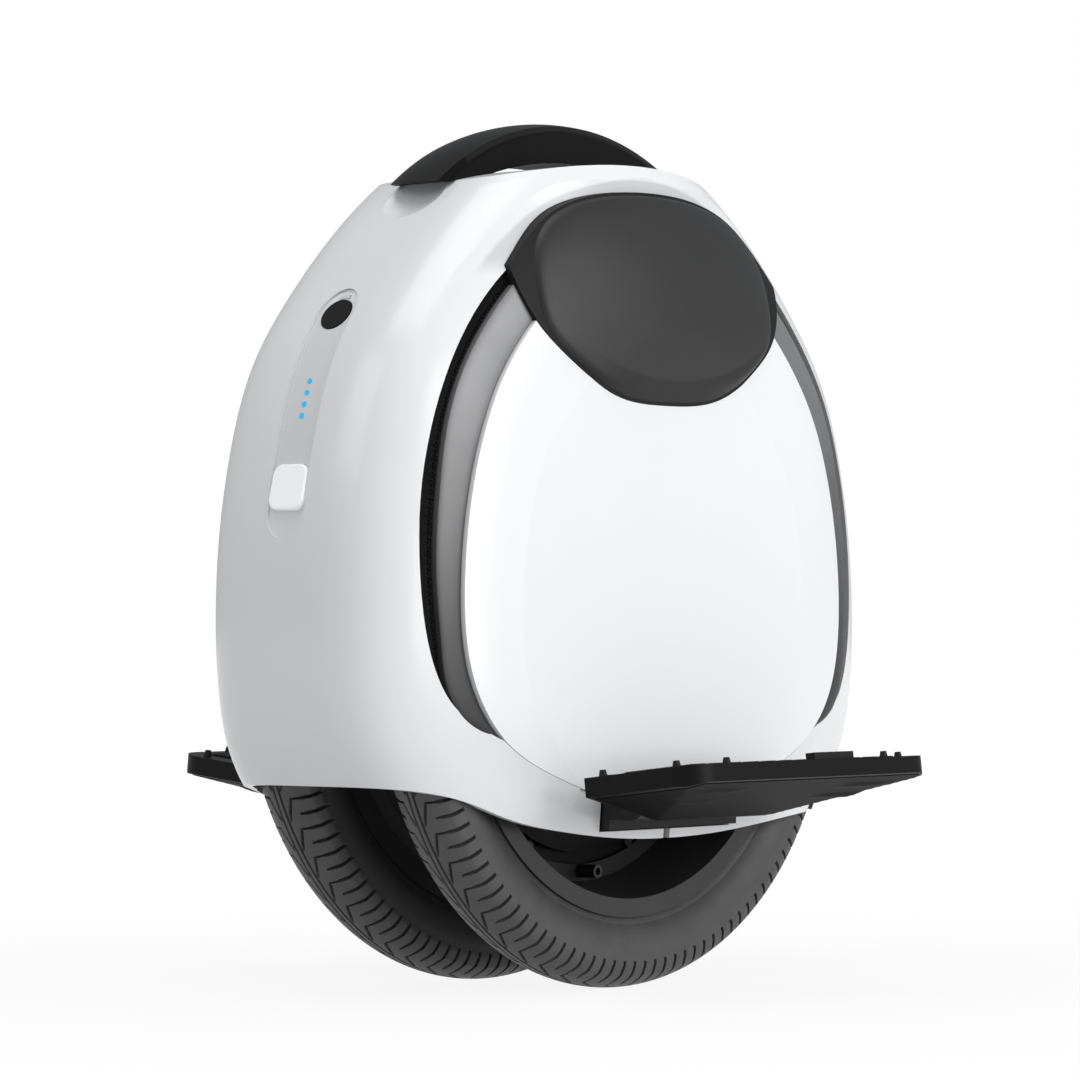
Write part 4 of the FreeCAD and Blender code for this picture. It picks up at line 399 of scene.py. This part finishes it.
hanger_alloy = finish("hanger_alloy", (0.45, 0.45, 0.46), 0.36, grain=0.006, grain_size=0.4,
                      metal=1.0)
bracket_paint = finish("bracket_paint", (0.007, 0.007, 0.0073), 0.4, grain=0.02, grain_size=0.7,
                       shine=0.3)
wear(hanger_alloy, *pair("hanger"))
wear(bracket_paint, *pair("hinge_bracket"))

# Pedals: black-painted castings that fold up on steel pins, with hard rubber studs. A ribbed
# rubber mat is let in on top, and a hull with two ribs closes the cells of the underside.

HINGE_Y = 104.0
HINGE_Z = 102.0
TILT = math.radians(6.5)
MAT_HALF_LENGTH = 86.0
MAT_INNER, MAT_OUTER = 24.0, 70.0
MAT_BASE, MAT_TOP = 13.1, 14.5
BAR_HEIGHT = 0.6
BAR_PITCH, BAR_MARKS, BAR_EDGE = 14.33, (0.0, 0.06, 0.11, 0.89, 0.94), (0.81, 1.71)
ROW_PITCH, ROW_MARKS, ROW_EDGE = 3.286, (0.0, 0.12, 0.28, 0.72, 0.88), (0.4, 0.9)
PAN_HALF_LENGTH, PAN_COLUMNS = 96.0, 65
PAN_INNER, PAN_OUTER, PAN_ROWS = 13.0, 81.0, 52
PAN_CORNER, PAN_TAPER = 71.0, 0.06
PAN_DEPTH, PAN_LIP = 11.4, 2.0
OUTER_SLOPE_FROM, OUTER_SLOPE = 10.0, 0.203
END_SLOPE_FROM, END_SLOPE = 45.0, 0.255
RIBS, RIB_WIDTH = (47.0, 66.0), 3.6
RIB_RISE, RIB_FALL = (38.0, 52.0), (72.0, 90.0)


def steps(first, last, pitch, marks):
    """Sample places from first to last: the marks, in shares of a pitch, repeated along the way."""
    count = int(round((last - first) / pitch))
    repeated = (np.arange(count)[:, None] + np.array(marks)[None, :]).ravel()
    return np.append(repeated * (last - first) / count + first, last)


def off_line(place, pitch):
    """Distance to the nearest of the lines that follow one another at a pitch."""
    return np.minimum(place % pitch, -place % pitch)


def on_pedal(x, y, z, side):
    """World places of points that are given on a level pedal, from the middle of its pin: they are
    turned by TILT about the pin."""
    world_y = HINGE_Y + y * math.cos(TILT) - z * math.sin(TILT)
    world_z = HINGE_Z + y * math.sin(TILT) + z * math.cos(TILT)
    return np.stack([x, world_y * side, world_z], -1) * MM


def mat(side):
    """A flat slab with rows of low bars on top: each bar is the product of a ramp along the pedal
    and one across it. The border is turned down to the base."""
    along = steps(-MAT_HALF_LENGTH, MAT_HALF_LENGTH, BAR_PITCH, BAR_MARKS)
    across = steps(MAT_INNER, MAT_OUTER, ROW_PITCH, ROW_MARKS)
    bar = ramp(off_line(along + MAT_HALF_LENGTH, BAR_PITCH), *BAR_EDGE)
    row = ramp(off_line(across - MAT_INNER, ROW_PITCH), *ROW_EDGE)
    top = MAT_TOP - BAR_HEIGHT + BAR_HEIGHT * bar[:, None] * row[None, :]
    x, y = (np.pad(place, 1, mode="edge") for place in np.meshgrid(along, across, indexing="ij"))
    return on_pedal(x, y, np.pad(top, 1, constant_values=MAT_BASE), side)


def pan(side):
    """Hull under the pedal: the higher of a slope towards the outer edge and two slopes towards the
    ends, with round ribs along it that stand out on the end slopes. The border is turned up."""
    x, y = np.meshgrid(np.linspace(-PAN_HALF_LENGTH, PAN_HALF_LENGTH, PAN_COLUMNS),
                       np.linspace(PAN_INNER, PAN_OUTER, PAN_ROWS), indexing="ij")
    x = x * (1 - PAN_TAPER * ramp(y, PAN_CORNER, PAN_OUTER) ** 2)
    end = np.abs(x)
    low = np.maximum((y - OUTER_SLOPE_FROM) * OUTER_SLOPE, (end - END_SLOPE_FROM) * END_SLOPE)
    low = low - PAN_DEPTH
    for rib in RIBS:
        round_rib = np.exp(-((y - rib) / RIB_WIDTH) ** 4)
        low = low - round_rib * ramp(end, *RIB_RISE) * (1 - ramp(end, *RIB_FALL))
    x, y, z = (np.pad(place, 1, mode="edge") for place in (x, y, low))
    z[[0, -1], :] += PAN_LIP
    z[1:-1, [0, -1]] += PAN_LIP
    return on_pedal(x, y, z, side)


def sheet_faces(rows, columns):
    """Quads of a grid, and one face under it that closes its border."""
    index = np.arange(rows * columns).reshape(rows, columns)
    quads = np.stack([index[:-1, :-1], index[1:, :-1], index[1:, 1:], index[:-1, 1:]], -1)
    border = np.concatenate([index[0, :-1], index[:-1, -1], index[-1, :0:-1], index[:0:-1, 0]])
    return quads.reshape(-1, 4), border[None, :]


pedal_paint = finish("pedal_paint", (0.005, 0.005, 0.0052), 0.45, grain=0.04, grain_size=0.9,
                     tone=0.1, fleck=0.15, shine=0.12)
pan_paint = finish("pan_paint", (0.002, 0.002, 0.0021), 0.55, grain=0.03, grain_size=0.9, tone=0.1,
                   shine=0.05)
mat_rubber = finish("mat_rubber", (0.009, 0.009, 0.0093), 0.68, grain=0.03, grain_size=0.8,
                    shine=0.25)
stud_rubber = finish("stud_rubber", (0.008, 0.008, 0.0083), 0.55, grain=0.02, shine=0.25)
wear(pedal_paint, *pair("pedal"))
wear(stud_rubber, *pair("pedal_studs"))
for side, word in SIDES:
    grid = mat(side)
    piece = new_mesh("mat_" + word, mat_rubber, grid, *sheet_faces(*grid.shape[:2]), crease=35)
    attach(piece, "pedal_" + word)
    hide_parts("pedal_mat_" + word)
    grid = pan(side)
    piece = new_mesh("pan_" + word, pan_paint, grid, *sheet_faces(*grid.shape[:2]), crease=50)
    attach(piece, "pedal_" + word)

# Inside of the casing: moulded arch over the wheel, with the wrapped battery packs on it, finned
# heat sink, driver board and motor lead. It shows only where the casing is taken off.

arch_plastic = finish("arch_plastic", (0.02, 0.02, 0.021), 0.6, grain=0.06, grain_size=1.2)
pack_wrap = finish("pack_wrap", (0.05, 0.14, 0.32), 0.35, grain=0.1, grain_size=6.0)
sink_alloy = finish("sink_alloy", (0.55, 0.55, 0.56), 0.35, grain=0.01, grain_size=0.4, metal=1.0)
board_mask = finish("board_mask", (0.015, 0.09, 0.04), 0.35, grain=0.02, grain_size=0.8)
part_black = finish("part_black", (0.02, 0.02, 0.021), 0.45, grain=0.02)
lead_jacket = finish("lead_jacket", (0.015, 0.015, 0.016), 0.55, grain=0.02)
wear(arch_plastic, "wheel_arch")
wear(pack_wrap, "battery_front", "battery_rear")
wear(sink_alloy, "heat_sink")
wear(board_mask, "control_board", "indicator_board")
wear(part_black, "board_parts", "button_switch")
wear(lead_jacket, "motor_cable")

# Casing: one white satin moulding in ABS, bolted to the hangers. Painted shade darkens the control
# channel in its front and the bevel above each pad. A tray of the same plastic is the floor of the
# finger well under the handle.

CASING_SHADE = (0.2, 0.2, 0.205)
# Bounds of a tint, here and below: from, to and the width of its soft edge, in metres.
CHANNEL_X, CHANNEL_Y, CHANNEL_Z = (0.1, 0.3, 0.01), (-0.0128, 0.0128, 0.003), (0.253, 0.362, 0.006)
CHANNEL_SHARE = 0.14
CREST_CENTRE = (0, 0, 0.2604)
CREST_RADIUS, CREST_Z = (0.1, 0.1717, 0.002), (0.38, 0.6, 0.012)
CREST_SHARE = 0.3
SIDE_VIEW = (1, 0, 1)
WELL_RADIUS = 44.1
WELL_HALF_LENGTH = 20.0
WELL_AXIS = 455.0
WELL_WALL = 1.8
WELL_EYE, WELL_REACH = 1.0, 34.0
WELL_RINGS, WELL_SPOKES = 15, 96


def window(tree, value, low, high, soft):
    """1 where a value lies between two bounds, with smooth edges of width soft."""
    product = 1.0
    for edge, half in ((low, soft / 2), (high, -soft / 2)):
        inputs = {"Value": value, "From Min": edge - half, "From Max": edge + half}
        step = add(tree, "MapRange", inputs, interpolation_type="SMOOTHSTEP")
        product = reckon(tree, "MULTIPLY", step.outputs["Result"], product)
    return product


def part_of(tree, reading="Object"):
    """The three parts of a finish's place in metres, or of another reading of it."""
    return add(tree, "SeparateXYZ", {0: tree.nodes["Texture Coordinate"].outputs[reading]}).outputs


def distance(tree, centre, axes=(1, 1, 1)):
    """Distance of a finish's place from a centre, along the axes that are 1."""
    place = tree.nodes["Texture Coordinate"].outputs["Object"]
    kept = add(tree, "VectorMath", {0: place, 1: axes}, operation="MULTIPLY").outputs[0]
    return add(tree, "VectorMath", {0: kept, 1: centre}, operation="DISTANCE").outputs["Value"]


def tint(material, mask, colour):
    """Lays a second colour over a finish where a mask is 1."""
    tree = material.node_tree
    base = tree.nodes["Principled BSDF"].inputs["Base Color"]
    tree.links.new(overlay(tree, base.links[0].from_socket, mask, colour), base)


def well_tray():
    """Floor of the finger well: the lowest part of a capsule that lies along the machine, as rings
    about its axis in plan, on its upper skin outwards and on its lower skin back."""
    apart = np.linspace(WELL_EYE, WELL_REACH, WELL_RINGS)
    angle = (np.arange(WELL_SPOKES) + 0.5) / WELL_SPOKES * 2 * np.pi
    apart = np.concatenate([apart, apart[::-1]])[:, None]
    radius = np.repeat((WELL_RADIUS, WELL_RADIUS + WELL_WALL), WELL_RINGS)[:, None]
    x = apart * np.cos(angle) + WELL_HALF_LENGTH * np.sign(np.cos(angle))
    z = WELL_AXIS - np.sqrt(radius ** 2 - apart ** 2) + 0 * angle
    return np.stack([x, apart * np.sin(angle), z], -1) * MM


def bar_faces(rows, columns, first=0):
    """Quads of a grid that closes on itself along its columns, and the two end faces."""
    index = np.arange(rows * columns).reshape(rows, columns) + first
    beside = np.roll(index, -1, 1)
    quads = np.stack([index[:-1], beside[:-1], beside[1:], index[1:]], -1)
    return quads.reshape(-1, 4), index[[0, -1]]


shell_white = finish("shell_white", (0.8, 0.803, 0.806), 0.26, grain_size=2.0, tone=0.008,
                     tone_size=120, coat=0.2, haze=0.01)
tree = shell_white.node_tree
part = part_of(tree)
# Painted shade in the control channel of the front.
channel = reckon(tree, "MULTIPLY", window(tree, part["Y"], *CHANNEL_Y),
                 window(tree, part["Z"], *CHANNEL_Z))
channel = reckon(tree, "MULTIPLY", channel, window(tree, part["X"], *CHANNEL_X))
tint(shell_white, reckon(tree, "MULTIPLY", channel, CHANNEL_SHARE), CASING_SHADE)
# Painted shade on the bevel above each pad.
crest = reckon(tree, "MULTIPLY", window(tree, part["Z"], *CREST_Z),
               window(tree, distance(tree, CREST_CENTRE, SIDE_VIEW), *CREST_RADIUS))
tint(shell_white, reckon(tree, "MULTIPLY", crest, CREST_SHARE), CASING_SHADE)
wear(shell_white, "main_shell")
grid = well_tray()
piece = new_mesh("well_tray", shell_white, grid, *bar_faces(*grid.shape[:2]), crease=40)
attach(piece, "casing")

# Side build-up: black grained frame behind, glossy white panel, satin grey bezel and dark light
# guide in the groove round it. All are moulded to the curve of the casing and set into the
# opening of its side, the bezel and the guide as bars at the front and at the rear.

CASING_CENTRE = 205.0
CROWN_HALF_WIDTH = 86.5
FLAT_SHARE = 0.975
OUTLINE_POINTS = 1600
BEZEL_ACROSS = (0.0, 0.0, 0.06, 0.18, 0.34, 0.5, 0.66, 0.82, 0.94, 1.0, 1.0)
BEZEL_GROWTH = (-3.2, 0.1, 0.4, 0.5, 0.5, 0.45, 0.35, 0.2, 0.0, -0.3, -3.2)
BEZEL_SHADE = (0.032, 0.032, 0.033)
BEZEL_SHADE_Z = (0.0, 0.26, 0.24)
TOOTH_PITCH, TOOTH_MARKS = 2.3, (0.0, 0.1, 0.5, 0.6)
TOOTH_SHARES = (0.0, 1.0, 1.0, 0.0)
STRIP_ACROSS = (0.1, 0.1, 0.4, 0.7, 0.74, 0.9, 0.9)
STRIP_GROWTH = (-3.2, -2.7, -2.6, -2.6, -2.6, -2.6, -3.2)
TOOTH_GROWTH = (0, 0, 0, 0, 0.7, 0.7, 0)


def curve_through(knots, count, closed=True):
    """Cubic spline over the chord length of its knots, as count even points; an open one is
    straight at its ends."""
    ahead = np.roll(knots, -1, 0)
    step = np.linalg.norm(ahead - knots, axis=1)
    behind = np.roll(step, 1)
    slope = (ahead - knots) / step[:, None]
    total = len(knots)
    index = np.arange(total)
    system = np.zeros((total, total))
    system[index, index] = 2 * (behind + step)
    system[index, (index + 1) % total] += step
    system[index, index - 1] += behind
    pull = 6 * (slope - np.roll(slope, 1, 0))
    if not closed:
        system[[0, -1]] = np.eye(total)[[0, -1]]
        pull[[0, -1]] = 0
    bend = np.linalg.solve(system, pull)
    spans = total if closed else total - 1
    start = np.concatenate([[0], np.cumsum(step)])[:spans + 1]
    place = np.linspace(0, start[-1], count, endpoint=not closed)
    span = np.clip(np.searchsorted(start, place, "right") - 1, 0, spans - 1)
    after = (span + 1) % total
    share = ((place - start[span]) / step[span])[:, None]
    rest = 1 - share
    sag = (rest ** 3 - rest) * bend[span] + (share ** 3 - share) * bend[after]
    return rest * knots[span] + share * knots[after] + sag * step[span][:, None] ** 2 / 6


def outline(shares, half_length, top, height):
    """Closed outline of the side view from its front half, in shares of half length and height."""
    half = np.array(shares) * (half_length, height) + (0, top - height)
    return curve_through(np.concatenate([half, half[-2:0:-1] * MIRROR]), OUTLINE_POINTS)


def casing_side(x, z, growth):
    """Half width of the casing form grown by growth: the egg outline shrinks to the sides as a
    power-4 crown, with flat sides."""
    angle = np.arctan2(z - CASING_CENTRE, x)
    reach = np.interp(angle, EGG_ANGLE, EGG_REACH, period=2 * np.pi) + growth
    share = np.clip(np.hypot(x, z - CASING_CENTRE) / reach, 0, 1)
    return (CROWN_HALF_WIDTH + growth) * np.minimum((1 - share ** 4) ** 0.25, FLAT_SHARE)


def nearest(points, line):
    """For each point the nearest point of a line."""
    apart = np.linalg.norm(points[:, None, :] - line[None, :, :], axis=2)
    return line[np.argmin(apart, axis=1)]


def run(line, low, high):
    """The front stretch of a closed outline between two heights, from its upper end down."""
    return line[(line[:, 0] > 0) & (line[:, 1] > low) & (line[:, 1] < high)]


def band(outer, inner, across, growth):
    """Closed bar along a pair of lines of the side view: across gives the places from the outer to
    the inner line, growth the height of each place over the casing form, as one row for each point
    of the lines."""
    flat = outer[:, None, :] + (inner - outer)[:, None, :] * np.array(across)[None, :, None]
    x, z = flat[..., 0], flat[..., 1]
    return np.stack([x, casing_side(x, z, growth), z], -1) * MM


def four_bars(name, grid, material, node):
    """A bar at the front and its mirror at the rear as one piece for each side of the machine."""
    front = grid.reshape(-1, 3)
    both = np.concatenate([front, front * (-1, 1, 1)])
    groups = bar_faces(*grid.shape[:2]) + bar_faces(*grid.shape[:2], first=len(front))
    for side, word in SIDES:
        piece = new_mesh(name + "_" + word, material, both * (1, side, 1), *groups, crease=40)
        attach(piece, "casing")
        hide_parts(node + "_" + word)


frame_grain = finish("frame_grain", (0.004, 0.004, 0.0042), 0.6, grain=0.05, grain_size=0.8,
                     shine=0.1)
panel_white = finish("panel_white", (0.87, 0.872, 0.875), 0.25, grain_size=2.0, tone=0.006,
                     tone_size=150, coat=0.2, haze=0.01)
wear(frame_grain, *pair("side_frame"))
wear(panel_white, *pair("side_panel"))

egg_line = outline([
    (0.0, 1.0), (0.304, 0.962), (0.531, 0.893), (0.725, 0.808), (0.86, 0.728), (0.942, 0.632),
    (0.986, 0.533), (1.0, 0.439), (0.99, 0.351), (0.952, 0.282), (0.83, 0.205), (0.604, 0.094),
    (0.0, 0.0)], half_length=207.0, top=468.0, height=478.0)
EGG_ANGLE = np.arctan2(egg_line[:, 1] - CASING_CENTRE, egg_line[:, 0])
EGG_REACH = np.hypot(egg_line[:, 0], egg_line[:, 1] - CASING_CENTRE)
opening_line = outline([
    (0.0, 0.97), (0.225, 0.958), (0.42, 0.925), (0.598, 0.864), (0.745, 0.786), (0.829, 0.724),
    (0.904, 0.647), (0.95, 0.576), (0.989, 0.476), (1.0, 0.38), (0.99, 0.285), (0.952, 0.199),
    (0.898, 0.149), (0.8, 0.111), (0.688, 0.083), (0.42, 0.045), (0.0, 0.03)],
    half_length=178.0, top=424.5, height=317.5)
bezel_line = outline([
    (0.0, 0.94), (0.3, 0.925), (0.5, 0.885), (0.63, 0.833), (0.761, 0.761), (0.861, 0.688),
    (0.927, 0.611), (0.974, 0.5), (0.998, 0.36), (0.985, 0.25), (0.952, 0.165), (0.888, 0.122),
    (0.79, 0.097), (0.5, 0.055), (0.0, 0.04)], half_length=170.0, top=424.5, height=317.5)
panel_line = outline([
    (0.0, 1.0), (0.36, 0.966), (0.6, 0.872), (0.71, 0.814), (0.83, 0.73), (0.908, 0.644),
    (0.97, 0.53), (1.0, 0.41), (0.998, 0.31), (0.96, 0.223), (0.886, 0.157), (0.786, 0.109),
    (0.6, 0.061), (0.33, 0.018), (0.0, 0.0)], half_length=155.5, top=396.5, height=298.0)

bezel_satin = finish("bezel_satin", (0.235, 0.235, 0.238), 0.4, grain=0.002, grain_size=0.5,
                     metal=0.35)
tree = bezel_satin.node_tree
# Painted shade: the bezel is darker towards the bottom.
tint(bezel_satin, window(tree, part_of(tree)["Z"], *BEZEL_SHADE_Z), BEZEL_SHADE)
bezel_inner = run(panel_line, low=133.0, high=366.0)[::2]
bezel_outer = nearest(bezel_inner, bezel_line)
bezel_bar = band(bezel_outer, bezel_inner, BEZEL_ACROSS, np.array(BEZEL_GROWTH)[None, :])
four_bars("bezel", bezel_bar, bezel_satin, "bezel_ring")

strip_black = finish("strip_black", (0.003, 0.003, 0.0032), 0.5, grain=0.01, shine=0.06)
groove_edge = run(opening_line, low=176.0, high=379.0)
gone = way(groove_edge)
teeth = steps(0.0, gone[-1], TOOTH_PITCH, TOOTH_MARKS)
strip_outer = np.stack([np.interp(teeth, gone, groove_edge[:, axis]) for axis in (0, 1)], 1)
tooth = np.resize(TOOTH_SHARES, len(teeth))[:, None]
strip_growth = np.array(STRIP_GROWTH) + tooth * np.array(TOOTH_GROWTH)
strip_bar = band(strip_outer, nearest(strip_outer, bezel_line), STRIP_ACROSS, strip_growth)
four_bars("light_teeth", strip_bar, strip_black, "light_strip")

# Knee pads: dark grained base in the casing's curve, and a moulded pad of firm foam on it. The
# pad is full above a crease; below it the pad falls off in a flat slope with painted shade on it.

PAD_SIZE = (110.0, 113.8)
PAD_FOOT = 311.2
PAD_MIDDLE = 368.0
PAD_INSET = 1.6
PAD_END = 96.0
PAD_BLEND = 26
PAD_SEAT = 2.5
PAD_SHOULDER, PAD_SHOULDER_POWER = 2.8, 34
PAD_CROWN = 6.6
PAD_EDGE = 0.2
PAD_SLOPE = 0.42
PAD_STEEP = 1.6
PAD_LOW = math.radians(268)
PAD_SPREAD = 1.2
PAD_CREASE = 3.0
PAD_SUNK = -0.4
PAD_BACK = (0.98, 0.03)
PAD_EYE = 0.02
PAD_SPOKES, PAD_RINGS = 192, 44
LEAF_POINTS = 600
LEAF_UPPER = [(1.0, 0.613), (0.873, 0.735), (0.7, 0.868), (0.42, 0.965), (0.0, 1.0)]
LEAF_LOWER = [(0.0, 0.0), (0.4, 0.04), (0.69, 0.187), (0.89, 0.352), (0.965, 0.48), (1.0, 0.613)]
PAD_PAINTED_SHADE = (0.007, 0.007, 0.0072)
FOLD_CENTRE = (0, 0, 0.484)
FOLD_RADIUS, FOLD_X = (0.16, 1.0, 0.0025), (-0.09, 0.055, 0.05)


def knee_pad(side):
    """Rings about the middle of the pad out to its leaf outline, rounded at both ends: the lower of
    a full crown with a round shoulder and of a slope that is flattest at the lower edge, blended.
    Two more rings close it below."""
    upper, lower = np.array(LEAF_UPPER), np.array(LEAF_LOWER)
    upper = np.concatenate([upper, upper[-2::-1] * MIRROR])
    lower = np.concatenate([lower[:0:-1] * MIRROR, lower])
    leaf = np.concatenate([curve_through(half * PAD_SIZE, LEAF_POINTS, closed=False)
                           for half in (upper, lower)])
    leaf_x, leaf_z = (leaf + (0, PAD_FOOT - PAD_MIDDLE)).T
    angle = np.linspace(0, 2 * np.pi, PAD_SPOKES, endpoint=False)
    reach = np.interp(angle, np.arctan2(leaf_z, leaf_x), np.hypot(leaf_x, leaf_z), period=2 * np.pi)
    reach = ((reach - PAD_INSET) ** -PAD_BLEND + PAD_END ** -PAD_BLEND) ** (-1 / PAD_BLEND)
    ring = np.sin(np.linspace(PAD_EYE, 0.5, PAD_RINGS) * np.pi)
    shoulder = PAD_SHOULDER * np.sqrt(np.clip(1 - ring ** PAD_SHOULDER_POWER, 0, 1))
    crown = shoulder + PAD_CROWN * (1 - ring ** 2)
    low = np.exp(-((angle - PAD_LOW) / PAD_SPREAD) ** 4)
    lean = (np.roll(reach, -1) - np.roll(reach, 1)) / (2 * angle[1] * reach)
    slope = (PAD_SLOPE + PAD_STEEP * (1 - low)) / np.hypot(1, lean)
    bevel = PAD_EDGE + (1 - ring)[:, None] * (reach * slope)[None, :]
    lift = np.exp(-PAD_CREASE * crown)[:, None] + np.exp(-PAD_CREASE * bevel)
    lift = -np.log(lift) / PAD_CREASE
    lift[-1] = PAD_SUNK
    lift = np.concatenate([lift, np.full((len(PAD_BACK), PAD_SPOKES), PAD_SUNK)])
    out = np.concatenate([ring, PAD_BACK])[:, None] * reach[None, :]
    x = out * np.cos(angle)[None, :]
    z = out * np.sin(angle)[None, :] + PAD_MIDDLE
    y = casing_side(x, z, PAD_SEAT) + lift
    return np.stack([x, y * side, z], -1) * MM


pad_base_grain = finish("pad_base_grain", (0.008, 0.008, 0.0083), 0.5, grain=0.1, grain_size=0.7,
                        fleck=0.2, shine=0.2)
wear(pad_base_grain, *pair("pad_base"))
pad_skin = finish("pad_skin", (0.02, 0.02, 0.0206), 0.48, grain=0.012, grain_size=0.9, tone=0.04,
                  shine=0.4)
tree = pad_skin.node_tree
# Painted shade: a darker band on the slope below the crease.
below = window(tree, distance(tree, FOLD_CENTRE, SIDE_VIEW), *FOLD_RADIUS)
along_fold = window(tree, part_of(tree)["X"], *FOLD_X)
tint(pad_skin, reckon(tree, "MULTIPLY", below, along_fold), PAD_PAINTED_SHADE)
for side, word in SIDES:
    grid = knee_pad(side)
    piece = new_mesh("cushion_" + word, pad_skin, grid, *bar_faces(*grid.shape[:2]), crease=60)
    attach(piece, "casing")
    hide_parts("knee_pad_" + word)

# Handle: moulded arch, screwed down from inside, with a soft strip moulded over its back. Painted
# light: the faces of the arch that do not look to the sides are lighter, in the grip's colour.

GRIP_BLACK_AND_PAINTED_LIGHT = (0.0125, 0.0125, 0.0128)
PAINTED_LIGHT_FACING = (-0.6, 0.6, 0.1)
handle_plastic = finish("handle_plastic", (0.003, 0.003, 0.0032), 0.45, grain=0.03, grain_size=0.8,
                        shine=0.1)
tree = handle_plastic.node_tree
# Painted light: faces that do not look to the sides get the lighter grip colour.
tint(handle_plastic, window(tree, part_of(tree, "Normal")["Y"], *PAINTED_LIGHT_FACING), GRIP_BLACK_AND_PAINTED_LIGHT)
grip_rubber = finish("grip_rubber", GRIP_BLACK_AND_PAINTED_LIGHT, 0.45, grain=0.04, grain_size=0.7, shine=0.1)
wear(handle_plastic, "handle_core")
wear(grip_rubber, "handle_grip")

# Control face: white press button with a painted glow, and blue lenses lit from behind, in the
# channel of the casing. A black rubber flap with a white rim hangs over the plated charge socket.

BUTTON_PAINTED_GLOW = 0.16
LENS_LIGHT, LENS_GLOW = (0.023, 0.397, 0.745, 1), 0.45
FLAP_CENTRE = (0.16426, 0.0, 0.35582)
FLAP_RADIUS = 0.0097
FLAP_RIM = (0.72, 0.723, 0.726)


def light_up(material, colour, strength):
    """Lets a finish glow."""
    tree = material.node_tree
    shader = tree.nodes["Principled BSDF"]
    feed(tree, shader, {"Emission Color": colour, "Emission Strength": strength})


button_white = finish("button_white", (0.93, 0.933, 0.936), 0.25, grain=0.001, grain_size=3.0,
                      tone=0.01, coat=0.3)
# Painted light: the white button glows, though it is no lamp.
light_up(button_white, (1, 1, 1, 1), BUTTON_PAINTED_GLOW)
lens_blue = finish("lens_blue", (0.02, 0.40, 0.75), 0.15)
light_up(lens_blue, LENS_LIGHT, LENS_GLOW)
flap_rubber = finish("flap_rubber", (0.005, 0.005, 0.0052), 0.5, grain=0.03, grain_size=0.6,
                     shine=0.2)
tree = flap_rubber.node_tree
rim = reckon(tree, "GREATER_THAN", distance(tree, FLAP_CENTRE), FLAP_RADIUS)
tint(flap_rubber, rim, FLAP_RIM)
socket_plate = finish("socket_plate", (0.5, 0.5, 0.51), 0.25, grain=0.003, metal=1.0)
wear(button_white, "power_button")
wear(lens_blue, "charge_lenses")
wear(flap_rubber, "port_flap")
wear(socket_plate, "charge_socket")
